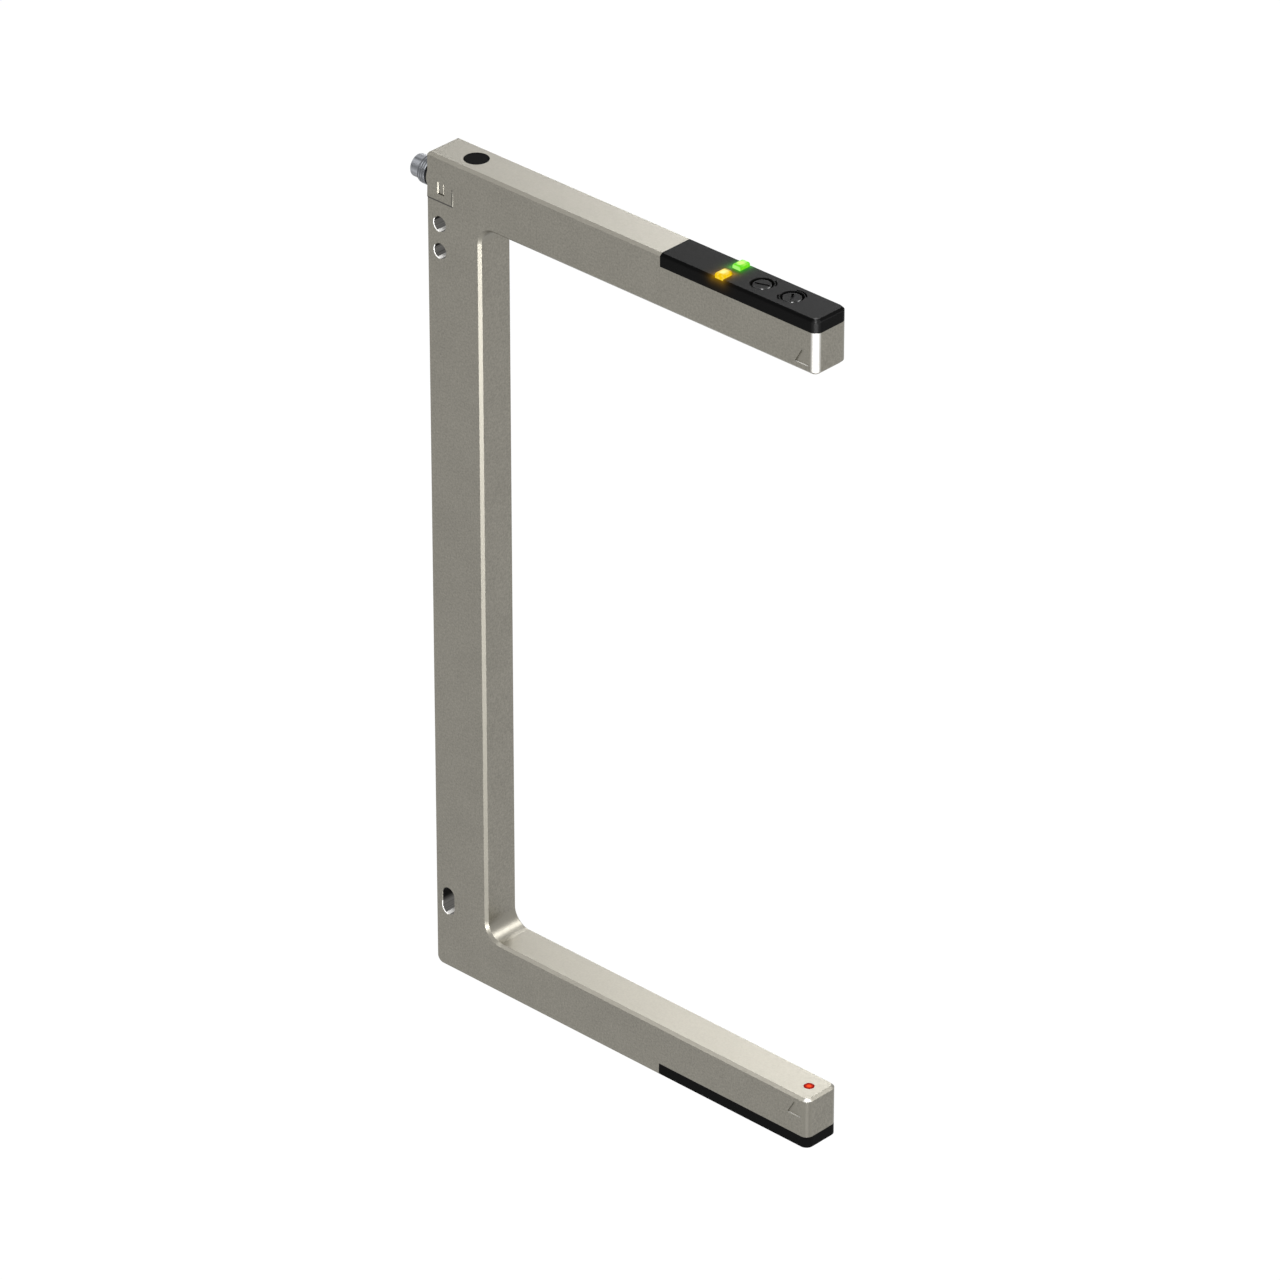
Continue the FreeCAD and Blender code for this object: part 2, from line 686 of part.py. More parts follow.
def make_covers():
    """Upper cover with wells and light pipe windows, lower cover with ribs under the board."""
    upper = cover_shell("upper_cover", UPPER_SEAT, TOP, roof_low=False)
    cover_skirt(upper, UPPER_SEAT, "Sizes.upper_cover - Sizes.cover_roof", upwards=True)
    for centre in (MODE_X, TRIMMER_X):
        control_well(upper, centre)
    tick_groove(upper, TRIMMER_X, "Sizes.crescent_start", "Sizes.crescent_sweep")
    tick_groove(upper, MODE_X, "Sizes.mode_tick_start", "Sizes.mode_tick_sweep")
    tick_groove(upper, TRIMMER_X, "Sizes.trimmer_tick_start", "Sizes.trimmer_tick_sweep")
    window = sketch_on(upper, "XY_Plane", TOP)
    for side in (-1, 1):
        add_rectangle(window, *pipe_corners(side, "Sizes.fit_gap"))
    pocket(upper, window, "Sizes.cover_roof")
    lower = cover_shell("lower_cover", BOTTOM, LOWER_SEAT, roof_low=True)
    cover_skirt(lower, LOWER_SEAT, "Sizes.lower_cover - Sizes.cover_roof", upwards=False)
    for post_x in POST_X:
        add_post(lower, post_x, f"({BOTTOM} + Sizes.cover_roof)", LOWER_BOARD)


def make_cover_seals():
    """Flat rubber loops that the covers' skirts press onto the ledges."""
    upper_low = f"{UPPER_SEAT} - {RIM_DEPTH}"
    lower_low = f"{LOWER_SEAT} + Sizes.skirt_depth"
    for name, low in (("upper_cover_seal", upper_low), ("lower_cover_seal", lower_low)):
        seal = new_body(name)
        loop = sketch_on(seal, "XY_Plane", low)
        gap = "Sizes.fit_gap"
        low_corner = (f"{RIM_START} + {gap}", f"-({RIM_HALF} - {gap})")
        add_rectangle(loop, low_corner, (f"{RIM_END} - {gap}", f"{RIM_HALF} - {gap}"))
        add_rectangle(loop, (INNER_START, f"-{INNER_HALF}"), (INNER_END, INNER_HALF))
        pad(seal, loop, "Sizes.cover_seal")


def make_channel_disc():
    """The black disc that closes the wire channel, flush with the top of the spine."""
    disc = new_body("channel_disc")
    revolve(disc, [
        ("0", "-Sizes.disc_thickness"),
        ("Sizes.disc_radius", "-Sizes.disc_thickness"),
        ("Sizes.disc_radius", "0"),
        ("0", "0"),
    ])
    seat(disc, CHANNEL_X, "0", TOP)


def make_rotor(name, centre, rest_angle):
    """A rotary control: slotted head in the well, shank through the cover, drive blade."""
    rotor = new_body(name)
    head_top = "-Sizes.head_recess"
    head_low = f"{head_top} - Sizes.head_height"
    shank_end = "-Sizes.upper_cover"
    revolve(rotor, [
        ("0", shank_end),
        ("Sizes.shank_radius", shank_end),
        ("Sizes.shank_radius", head_low),
        ("Sizes.head_radius", head_low),
        ("Sizes.head_radius", f"{head_top} - Sizes.head_chamfer"),
        ("Sizes.head_radius - Sizes.head_chamfer", head_top),
        ("0", head_top),
    ])
    notch = sketch_on(rotor, "XY_Plane", head_top)
    half_long, half_wide = "Sizes.notch_length / 2", "Sizes.notch_width / 2"
    add_rectangle(notch, (f"-{half_long}", f"-{half_wide}"), (half_long, half_wide))
    pocket(rotor, notch, "Sizes.notch_depth")
    blade = sketch_on(rotor, "XY_Plane", shank_end)
    reach = "(Sizes.shank_radius - Sizes.blade_setback)"
    add_rectangle(blade, (f"-{reach}", f"-{half_wide}"), (reach, half_wide))
    pad(rotor, blade, "Sizes.drive_depth", backwards=True)
    seat(rotor, centre, "0", TOP, FreeCAD.Rotation(FreeCAD.Vector(0, 0, 1), value(rest_angle)))
    rotor.setExpression("Placement.Rotation.Angle", rest_angle)


def make_rotor_ring(name, centre):
    """The small ring in the gland round a control's shank, eight-sided in section."""
    ring = new_body(name)
    reach = "(Sizes.ring_section - Sizes.ring_gap)"
    revolve(ring, [
        (f"{RING_CENTRE} + {reach} * cos({angle})", f"{reach} * sin({angle})")
        for angle in range(0, 360, 45)
    ])
    seat(ring, centre, "0", f"{UPPER_SEAT} + Sizes.gland_depth / 2")


def make_control_base(name, centre):
    """The block on the board that a control's blade turns: square, with a round recess."""
    base = new_body(name)
    half_side = "Sizes.base_side / 2"
    top = f"({UPPER_SEAT} - Sizes.control_gap)"
    low = (f"{centre} - {half_side}", f"-{half_side}", UPPER_BOARD_TOP)
    block(base, low, (f"{centre} + {half_side}", half_side, top))
    recess = add_circle(sketch_on(base, "XY_Plane", top), centre, "0", SHANK_BORE)
    pocket(base, recess, "Sizes.drive_depth")


def make_light_pipe(name, side):
    """A domed light pipe let into the cover, with a leg down to its indicator."""
    pipe = new_body(name)
    low, high = pipe_corners(side, "0")
    bar_low, bar_high = f"({TOP} - Sizes.cover_roof)", f"({TOP} + Sizes.pipe_dome)"
    body = block(pipe, (*low, bar_low), (*high, bar_high))
    crown = value(bar_high)

    def at_corner(edge, middle):
        return ends_share(edge, "x") and ends_share(edge, "y")

    def along_crown(edge, middle):
        return near(middle.z, crown)

    body = round_edges(pipe, body, at_corner, "Sizes.pipe_corner")
    round_edges(pipe, body, along_crown, "Sizes.pipe_round")
    leg = sketch_on(pipe, "XY_Plane", f"{TOP} - Sizes.leg_drop")
    add_circle(leg, PIPE_X, f"{side} * Sizes.leg_offset", "Sizes.leg_radius")
    pad(pipe, leg, "Sizes.leg_drop - Sizes.cover_roof")


def make_indicator(name, side):
    """A small light source on the board under a light pipe's leg."""
    chip = new_body(name)
    half_long, half_wide = "Sizes.indicator_length / 2", "Sizes.indicator_width / 2"
    centre = f"{side} * Sizes.leg_offset"
    crown = f"({UPPER_BOARD_TOP} + Sizes.indicator_height)"
    low = (f"{PIPE_X} - {half_long}", f"{centre} - {half_wide}", UPPER_BOARD_TOP)
    block(chip, low, (f"{PIPE_X} + {half_long}", f"{centre} + {half_wide}", crown))


def make_board(name, low_z):
    """A circuit board that fills a hollow but for a small gap all round."""
    board = new_body(name)
    edge = f"({INNER_HALF} - Sizes.board_gap)"
    low = (f"{INNER_START} + Sizes.board_gap", f"-{edge}", low_z)
    high = (f"{INNER_END} - Sizes.board_gap", edge, f"({low_z} + Sizes.board_thickness)")
    block(board, low, high)


def make_small_parts(name, low_z, high_z):
    """Four small passive parts in two rows, as one node of separate solids."""
    group = new_body(name)
    sketch = sketch_on(group, "XY_Plane", low_z)
    for step in (0, 1):
        start = f"{PIPE_X} - Sizes.part_setback + {step} * Sizes.part_pitch"
        end = f"{start} + Sizes.part_length"
        for side in (-1, 1):
            centre = f"{side} * Sizes.part_spread"
            low = (start, f"{centre} - Sizes.part_width / 2")
            add_rectangle(sketch, low, (end, f"{centre} + Sizes.part_width / 2"))
    pad(group, sketch, f"{high_z} - {low_z}")


def make_chip(name, low_z, high_z):
    """A flat integrated circuit beside the small parts."""
    chip = new_body(name)
    start = f"{MODE_X} - Sizes.chip_setback"
    half_side = "Sizes.chip_side / 2"
    block(chip, (start, f"-{half_side}", low_z), (f"{start} + Sizes.chip_side", half_side, high_z))


def make_boards():
    """Receiver board in the upper arm, emitter board in the lower arm, and their parts."""
    make_board("receiver_board", UPPER_BOARD)
    make_board("emitter_board", LOWER_BOARD)
    hanging = f"({UPPER_BOARD} - Sizes.small_part_height)"
    standing = f"({LOWER_BOARD_TOP} + Sizes.small_part_height)"
    make_small_parts("receiver_capacitors", hanging, UPPER_BOARD)
    make_small_parts("emitter_capacitors", LOWER_BOARD_TOP, standing)
    make_chip("evaluation_chip", f"({UPPER_BOARD} - Sizes.chip_height)", UPPER_BOARD)
    make_chip("driver_chip", LOWER_BOARD_TOP, f"({LOWER_BOARD_TOP} + Sizes.chip_height)")
    upper_low = f"({CABLE_TOP_Z} - Sizes.cable_thickness / 2 - Sizes.header_margin)"
    lower_high = f"({LOWER_BORE_Z} + Sizes.cable_thickness / 2 + Sizes.header_margin)"
    half_width = "Sizes.header_width / 2"
    for name, low, high in (
        ("receiver_header", upper_low, UPPER_BOARD),
        ("emitter_header", LOWER_BOARD_TOP, lower_high),
    ):
        header = new_body(name)
        block(header, (HEADER_START, f"-{half_width}", low), (HEADER_END, half_width, high))


def make_lens(name, face_z, turn):
    """A stepped lens: window in the wall, flange inside and a bulged inner face."""
    lens = new_body(name)
    flange_z = "(-Sizes.floor_wall - Sizes.lens_flange)"
    window = "(Sizes.lens_radius - Sizes.fit_gap / 2)"
    revolve(lens, [
        ("0", "0"),
        ("0", f"{flange_z} - Sizes.lens_bulge"),
        (f"{window} / 2", f"{flange_z} - Sizes.lens_bulge"),
        (window, flange_z),
        ("Sizes.lens_flange_radius", flange_z),
        ("Sizes.lens_flange_radius", "-Sizes.floor_wall"),
        (window, "-Sizes.floor_wall"),
        (window, "0"),
    ])
    seat(lens, BEAM_X, "0", face_z, turn)


def make_tube(name, low_z, high_z):
    """A black sight tube that spaces a lens from its board and keeps stray light out."""
    tube = new_body(name)
    wall = sketch_on(tube, "XY_Plane", low_z)
    add_circle(wall, BEAM_X, "0", "Sizes.tube_radius")
    add_circle(wall, BEAM_X, "0", "Sizes.tube_bore")
    pad(tube, wall, f"{high_z} - {low_z}")


def make_optics():
    """Lenses, sight tubes, the light source and the photodiode on the beam's axis."""
    flipped = FreeCAD.Rotation(FreeCAD.Vector(1, 0, 0), 180)
    make_lens("emitter_lens", SILL, None)
    make_lens("receiver_lens", LINTEL, flipped)
    make_tube("emitter_tube", LOWER_BOARD_TOP, f"({LOWER_CEILING} - Sizes.lens_flange)")
    make_tube("receiver_tube", f"({UPPER_FLOOR} + Sizes.lens_flange)", UPPER_BOARD)
    half_side = "Sizes.die_side / 2"
    diode = new_body("photodiode")
    low = (f"{BEAM_X} - {half_side}", f"-{half_side}", f"({UPPER_BOARD} - Sizes.die_height)")
    block(diode, low, (f"{BEAM_X} + {half_side}", half_side, UPPER_BOARD))
    source = new_body("emitter_diode")
    block(source, ("-" + half_side, "-" + half_side, "0"), (half_side, half_side, "Sizes.die_height"))
    revolve(source, [
        ("0", "0"),
        ("Sizes.dome_radius", "0"),
        ("Sizes.dome_radius", "Sizes.die_height + Sizes.dome_foot"),
        ("Sizes.dome_radius / 2", "Sizes.die_height + Sizes.dome_height"),
        ("0", "Sizes.die_height + Sizes.dome_height"),
    ])
    seat(source, BEAM_X, "0", LOWER_BOARD_TOP)


def pin_places():
    """Where the three pins stand round the plug's axis, as pairs of expressions."""
    reach = "Sizes.pin_circle"
    return [(f"{reach} * cos({angle})", f"{reach} * sin({angle})") for angle in PIN_ANGLES]


def make_plug_seal(low_end, high_end, outwards):
    """The rubber ring in the plug's undercut, flat inside and crowned outside."""
    ring = new_body("plug_seal")
    inner = "(Sizes.relief_radius + Sizes.fit_gap / 2)"
    edge = "(Sizes.seal_radius - Sizes.seal_crown)"
    low, high = f"({low_end} + Sizes.fit_gap)", f"({high_end} - Sizes.fit_gap)"
    crown = ("Sizes.seal_radius", f"({low} + {high}) / 2")
    revolve(ring, [(inner, low), (edge, low), crown, (edge, high), (inner, high)])
    seat(ring, BACK, "0", PLUG_Z, outwards)


def make_plug():
    """The round plug: turned shell with latch tongues, pin carrier, pins and seal."""
    outwards = FreeCAD.Rotation(FreeCAD.Vector(0, 1, 0), -90)
    relief = "Sizes.shoulder_length"
    thread = f"({relief} + Sizes.relief_length)"
    nose = f"({thread} + Sizes.thread_length)"
    rim = f"({nose} + Sizes.nose_length)"
    inner_end = f"(-{BARREL_LENGTH})"
    shell = new_body("plug_shell")
    revolve(shell, [
        ("Sizes.socket_radius", inner_end),
        ("Sizes.barrel_radius", inner_end),
        ("Sizes.barrel_radius", "0"),
        ("Sizes.shoulder_radius", "0"),
        ("Sizes.shoulder_radius", relief),
        ("Sizes.relief_radius", relief),
        ("Sizes.relief_radius", thread),
        ("Sizes.thread_radius", thread),
        ("Sizes.thread_radius", f"{nose} - Sizes.thread_chamfer"),
        ("Sizes.thread_radius - Sizes.thread_chamfer", nose),
        ("Sizes.nose_radius", nose),
        ("Sizes.nose_radius", f"{rim} - Sizes.nose_chamfer"),
        ("Sizes.nose_radius - Sizes.nose_chamfer", rim),
        ("Sizes.socket_radius", rim),
    ])
    half_height = "(Sizes.window_height / 2 - Sizes.tongue_gap)"
    start = "(-Sizes.window_inset - Sizes.fit_gap)"
    end = "(-Sizes.window_inset - Sizes.window_width + Sizes.tongue_setback)"
    root = "(Sizes.socket_radius + Sizes.barrel_radius) / 2"
    face = f"({HALF} - Sizes.tongue_depth)"
    for side in (-1, 1):
        tongue = sketch_on(shell, "YZ_Plane", f"-{half_height}")
        add_polygon(tongue, [
            (f"{side} * {root}", end),
            (f"{side} * {root}", start),
            (f"{side} * {face}", start),
            (f"{side} * {face}", f"{end} + Sizes.tongue_ramp"),
            (f"{side} * ({face} - Sizes.tongue_ramp)", end),
        ])
        pad(shell, tongue, f"2 * {half_height}")
    seat(shell, BACK, "0", PLUG_Z, outwards)

    carrier = new_body("plug_insert")
    face_z = f"({rim} - Sizes.socket_depth)"
    reach = "(Sizes.socket_radius - Sizes.fit_gap)"
    profile = sketch_on(carrier, "XY_Plane", inner_end)
    add_circle(profile, "0", "0", reach)
    for along, across in pin_places():
        add_circle(profile, along, across, "Sizes.pin_radius + Sizes.fit_gap / 2")
    pad(carrier, profile, f"{face_z} - {inner_end}")
    key = sketch_on(carrier, "XY_Plane", face_z)
    add_circle(key, f"-({reach} - Sizes.key_radius - Sizes.fit_gap)", "0", "Sizes.key_radius")
    pad(carrier, key, "Sizes.socket_depth / 2")
    seat(carrier, BACK, "0", PLUG_Z, outwards)

    pins = new_body("contact_pins")
    round_pins = sketch_on(pins, "XY_Plane", f"{inner_end} - Sizes.pin_tail")
    for along, across in pin_places():
        add_circle(round_pins, along, across, "Sizes.pin_radius")
    length = f"{rim} - Sizes.pin_recess - ({inner_end} - Sizes.pin_tail)"
    pinned = pad(pins, round_pins, length)
    pin_tip = value(f"{rim} - Sizes.pin_recess")

    def at_tip(edge, middle):
        return near(middle.z, pin_tip)

    bevel_edges(pins, pinned, at_tip, "Sizes.pin_radius / 2")
    seat(pins, BACK, "0", PLUG_Z, outwards)

    make_plug_seal(relief, thread, outwards)


def make_leads():
    """Three thin wires from the pins' tails through the arm's bore to the board's header."""
    leads = new_body("plug_leads")
    start = f"({BARREL_END} + Sizes.pin_tail)"
    sketch = sketch_on(leads, "YZ_Plane", start)
    for up, across in pin_places():
        add_circle(sketch, across, f"{PLUG_Z} + {up}", "Sizes.lead_radius")
    pad(leads, sketch, f"{HEADER_START} - {start}")


def make_link_cable():
    """The flat cable that joins the two boards, along the arms and down the channel."""
    cable = new_body("link_cable")
    route = sketch_on(cable, "XZ_Plane")
    bend = "Sizes.cable_bend"
    stops = [
        (HEADER_START, CABLE_TOP_Z),
        (f"{CHANNEL_X} + {bend}", CABLE_TOP_Z),
        (CHANNEL_X, f"{CABLE_TOP_Z} - {bend}"),
        (CHANNEL_X, f"{LOWER_BORE_Z} + {bend}"),
        (f"{CHANNEL_X} + {bend}", LOWER_BORE_Z),
        (HEADER_START, LOWER_BORE_Z),
    ]
    points = [FreeCAD.Vector(value(along), value(up), 0) for along, up in stops]
    reach = value(bend)
    slant = reach * (1 - 0.5 ** 0.5)
    upper_middle = points[2] + FreeCAD.Vector(slant, reach - slant, 0)
    lower_middle = points[3] + FreeCAD.Vector(slant, slant - reach, 0)
    runs = [
        Part.LineSegment(points[0], points[1]),
        Part.Arc(points[1], upper_middle, points[2]),
        Part.LineSegment(points[2], points[3]),
        Part.Arc(points[3], lower_middle, points[4]),
        Part.LineSegment(points[4], points[5]),
    ]
    for run in runs:
        route.addGeometry(run, False)
    for first, second in ((0, 1), (1, 2), (2, 3), (3, 4)):
        route.addConstraint(Sketcher.Constraint("Tangent", first, 2, second, 1))
    for geometry in (0, 2, 4):
        tie_point(route, geometry, 1, *stops[geometry])
    tie_point(route, 4, 2, *stops[5])
    tie_radius(route, 1, bend)
    tie_radius(route, 3, bend)
    section = sketch_on(cable, "YZ_Plane", HEADER_START)
    half_width, half_thick = "Sizes.cable_width / 2", "Sizes.cable_thickness / 2"
    low_corner = (f"-{half_width}", f"{CABLE_TOP_Z} - {half_thick}")
    add_rectangle(section, low_corner, (half_width, f"{CABLE_TOP_Z} + {half_thick}"))
    run = cable.newObject("PartDesign::AdditivePipe", "link_cable_run")
    run.Profile = section
    run.Spine = (route, [""])


def check_document():
    """Stop where a feature failed or changes nothing, or a sub-part isn't a valid solid."""
    adding = ("PartDesign::Pad", "PartDesign::Revolution", "PartDesign::AdditiveLoft")
    for item in doc.Objects:
        if any(state in ("Invalid", "Error") for state in item.State):
            raise RuntimeError(f"{item.Label} failed: {item.State}")
        if item.TypeId in adding or item.TypeId == "PartDesign::Pocket":
            before = item.BaseFeature.Shape.Volume if item.BaseFeature else 0
            change = item.Shape.Volume - before
            if (change if item.TypeId in adding else -change) < SMALLEST_CHANGE:
                raise RuntimeError(f"{item.Label} changes nothing")
    for part in parts:
        if part.Shape.isNull() or not part.Shape.isValid():
            raise RuntimeError(f"{part.Label} has no valid shape")


def main():
    """Build every sub-part, check the document and write one file for each node."""
    make_housing()
    make_covers()
    make_cover_seals()
    make_channel_disc()
    make_rotor("mode_rotor", MODE_X, "Sizes.mode_rest_angle")
    make_rotor("trimmer_rotor", TRIMMER_X, "Sizes.trimmer_rest_angle")
    make_rotor_ring("mode_ring", MODE_X)
    make_rotor_ring("trimmer_ring", TRIMMER_X)
    make_control_base("mode_switch", MODE_X)
    make_control_base("trimmer_base", TRIMMER_X)
    make_light_pipe("output_light_pipe", -1)
    make_light_pipe("power_light_pipe", 1)
    make_indicator("output_indicator", -1)
    make_indicator("power_indicator", 1)
    make_boards()
    make_optics()
    make_plug()
    make_leads()
    make_link_cable()
    doc.recompute()
    check_document()
    os.makedirs("parts", exist_ok=True)
    for part in parts:
        part.Shape.exportStep(f"parts/{part.Label}.step")
        box = part.Shape.BoundBox
        print(f"{part.Label}: {len(part.Shape.Solids)} solids, {part.Shape.Volume:.2f} mm3, "
              f"x {box.XMin:.2f} to {box.XMax:.2f}, y {box.YMin:.2f} to {box.YMax:.2f}, "
              f"z {box.ZMin:.2f} to {box.ZMax:.2f}")


main()
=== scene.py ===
"""Looks of a fork light barrier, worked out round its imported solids.

The cast frame, covers, controls, light pipes and windows keep their solids and get detailed
finishes. The round plug gets a cut thread, as a surface of angle and length round its axis.
"""

import logging
import math
from dataclasses import dataclass, field, replace
from enum import Enum

import bpy
import numpy as np
from mathutils import Matrix, Vector


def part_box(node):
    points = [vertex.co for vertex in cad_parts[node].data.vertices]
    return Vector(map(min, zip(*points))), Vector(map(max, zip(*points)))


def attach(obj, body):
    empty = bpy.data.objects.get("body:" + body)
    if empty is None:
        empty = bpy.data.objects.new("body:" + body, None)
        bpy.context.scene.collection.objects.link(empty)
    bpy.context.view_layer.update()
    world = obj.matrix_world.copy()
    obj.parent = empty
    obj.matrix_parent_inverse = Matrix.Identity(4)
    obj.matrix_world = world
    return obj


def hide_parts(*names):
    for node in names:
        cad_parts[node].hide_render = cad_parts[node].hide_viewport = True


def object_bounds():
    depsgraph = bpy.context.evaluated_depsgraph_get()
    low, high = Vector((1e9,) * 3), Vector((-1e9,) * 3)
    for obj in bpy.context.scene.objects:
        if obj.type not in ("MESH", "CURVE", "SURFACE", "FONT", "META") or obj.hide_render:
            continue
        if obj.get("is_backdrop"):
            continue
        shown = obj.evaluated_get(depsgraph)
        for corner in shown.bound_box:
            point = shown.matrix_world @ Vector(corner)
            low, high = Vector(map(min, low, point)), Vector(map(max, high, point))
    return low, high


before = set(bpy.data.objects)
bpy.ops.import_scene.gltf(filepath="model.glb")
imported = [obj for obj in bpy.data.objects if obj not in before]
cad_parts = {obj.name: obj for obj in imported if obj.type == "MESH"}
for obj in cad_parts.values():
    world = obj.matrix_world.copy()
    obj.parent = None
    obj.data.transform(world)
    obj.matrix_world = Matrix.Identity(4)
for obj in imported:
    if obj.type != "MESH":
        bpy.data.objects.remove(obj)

LOG = logging.getLogger("light_barrier")
MILLIMETRE = 0.001
SENSOR_BODY = "sensor"
MIX_FACTOR, MIX_A, MIX_B, MIX_RESULT = 0, 6, 7, 2
PLAIN, COARSE, MIDDLING, FINE, FINEST = 0.0, 1.0, 2.0, 3.0, 4.0
BLACK = (0.0, 0.0, 0.0, 1.0)
WHITE = (1.0, 1.0, 1.0, 1.0)
CURVE_POINTS = 4
SIDE_SHARE = 0.45

Socket = bpy.types.NodeSocket
Feed = Socket | float
Point = tuple[float, float, float]
Pair = tuple[float, float]


def mm(length: float) -> float:
    """Turn millimetres into metres."""
    return length * MILLIMETRE


class Axis(Enum):
    """The three directions of the frame."""

    X = 0
    Y = 1
    Z = 2


@dataclass(frozen=True)
class Tint:
    """A colour in display values from 0 to 255."""

    red: float
    green: float
    blue: float

    def linear(self, share: float = 1.0) -> tuple[float, float, float, float]:
        """Give the colour as light amounts.

        Each display value v becomes ((v + 0.055) / 1.055) to the power 2.4, or v / 12.92 where
        it is very dark.

        Args:
            share: what the light amounts are multiplied by.

        Returns:
            Red, green, blue and a solid cover of 1.
        """
        values = np.array([self.red, self.green, self.blue]) / 255.0
        light = np.where(values <= 0.04045, values / 12.92, ((values + 0.055) / 1.055) ** 2.4)
        red, green, blue = (float(amount) * share for amount in light)
        return red, green, blue, 1.0


class Graph:
    """A material's node tree, with a short method for each kind of step."""

    def __init__(self, name: str) -> None:
        """Start an empty tree that reads the piece's own coordinates.

        Args:
            name: the material's name.
        """
        self.material = bpy.data.materials.new(name)
        self.material.use_nodes = True
        self.tree = self.material.node_tree
        self.tree.nodes.clear()
        self.output = self.tree.nodes.new("ShaderNodeOutputMaterial")
        self.place = self.tree.nodes.new("ShaderNodeTexCoord").outputs["Object"]
        parts = self.tree.nodes.new("ShaderNodeSeparateXYZ")
        self.feed(self.place, parts.inputs[0])
        self.axes = {axis: parts.outputs[axis.value] for axis in Axis}

    def feed(self, source: Feed | tuple, target: Socket) -> None:
        """Put a number, a colour or another node's result into a socket.

        Args:
            source: the number, colour or result.
            target: the socket that takes it.
        """
        if isinstance(source, (int, float, tuple)):
            target.default_value = source
        else:
            self.tree.links.new(source, target)

    def math(self, operation: str, *terms: Feed) -> Socket:
        """Work out one arithmetic step.

        Args:
            operation: the step's name, such as ADD.
            *terms: its numbers or results, in order.

        Returns:
            The step's result.
        """
        node = self.tree.nodes.new("ShaderNodeMath")
        node.operation = operation
        for term, socket in zip(terms, node.inputs):
            self.feed(term, socket)
        return node.outputs[0]

    def fold(self, operation: str, *terms: Feed) -> Socket:
        """Join terms by one kind of step, the first to the second and so on.

        Args:
            operation: the step's name, such as ADD.
            *terms: the numbers or results that it joins.

        Returns:
            The last step's result.
        """
        result = terms[0]
        for term in terms[1:]:
            result = self.math(operation, result, term)
        return result

    def total(self, *terms: Feed) -> Socket:
        """Add terms up."""
        return self.fold("ADD", *terms)

    def product(self, *terms: Feed) -> Socket:
        """Multiply terms."""
        return self.fold("MULTIPLY", *terms)

    def smallest(self, *terms: Feed) -> Socket:
        """Give the smallest of the terms."""
        return self.fold("MINIMUM", *terms)

    def largest(self, *terms: Feed) -> Socket:
        """Give the largest of the terms."""
        return self.fold("MAXIMUM", *terms)

    def minus(self, first: Feed, second: Feed) -> Socket:
        """Take the second term from the first."""
        return self.math("SUBTRACT", first, second)

    def apart(self, first: Feed, second: Feed) -> Socket:
        """Give how far two terms are apart."""
        return self.math("ABSOLUTE", self.minus(first, second))

    def across(self) -> Socket:
        """Give the distance from the frame's middle plane."""
        return self.math("ABSOLUTE", self.axes[Axis.Y])

    def length(self, *sides: Feed) -> Socket:
        """Give the square root of the sum of the sides' squares."""
        return self.math("SQRT", self.total(*(self.product(side, side) for side in sides)))

    def off_axis(self, middle: Point) -> Socket:
        """Give the distance from the upright line through a point."""
        return self.length(*(
            self.minus(self.axes[axis], middle[axis.value]) for axis in (Axis.X, Axis.Y)
        ))

    def outside(self, axis: Axis, centre: float, half: float) -> Socket:
        """Give how far a point lies outside a slab, which is max(|p - centre| - half, 0).

        Args:
            axis: the direction across the slab.
            centre: the slab's middle on that axis, in metres.
            half: half of its thickness, in metres.

        Returns:
            The distance in metres.
        """
        return self.largest(self.minus(self.apart(self.axes[axis], centre), half), 0.0)

    def band(self, axis: Axis, low: float, high: float, blur: float) -> Socket:
        """Give 1 between two places on an axis and 0 outside, with soft ends.

        Args:
            axis: the direction across the band.
            low: where it begins, in metres.
            high: where it ends, in metres.
            blur: how far past its ends it fades, in metres.

        Returns:
            The band's share.
        """
        return self.fade(self.outside(axis, (low + high) / 2, (high - low) / 2), 0.0, blur)

    def corner(
        self, tip: float, side: float, radius: float, ramp: Pair = (0.03, 0.4)
    ) -> Socket:
        """Give 1 on the rounded corner where a tip face meets the front side, and 0 elsewhere.

        Args:
            tip: the tip face's place along the arms.
            side: the side face's distance from the middle plane.
            radius: the corner's radius.
            ramp: where the share starts and is full, in radii in from the corner's edges.

        Returns:
            The share.
        """
        start, full = (share * radius for share in ramp)
        across = self.product(self.axes[Axis.Y], -1.0)
        along = self.fade(self.axes[Axis.X], tip - radius + full, tip - radius + start)
        near = self.fade(across, side - radius + full, side - radius + start)
        return self.product(along, near)

    def fade(self, value: Feed, start: float, end: float) -> Socket:
        """Go smoothly from 1 at start to 0 at end.

        Args:
            value: what is measured.
            start: the value at which the result is 1.
            end: the value at which it is 0.

        Returns:
            The smooth share.
        """
        node = self.tree.nodes.new("ShaderNodeMapRange")
        node.interpolation_type = "SMOOTHSTEP"
        for name, term in (
            ("Value", value),
            ("From Min", start),
            ("From Max", end),
            ("To Min", 1.0),
            ("To Max", 0.0),
        ):
            self.feed(term, node.inputs[name])
        return node.outputs["Result"]

    def noise(self, size: float, detail: float = MIDDLING) -> Socket:
        """Give a cloudy pattern between 0 and 1.

        Args:
            size: the size of a cloud in metres.
            detail: how many finer layers are added.

        Returns:
            The pattern's value.
        """
        node = self.tree.nodes.new("ShaderNodeTexNoise")
        self.feed(self.place, node.inputs["Vector"])
        self.feed(1.0 / size, node.inputs["Scale"])
        self.feed(detail, node.inputs["Detail"])
        return node.outputs[0]

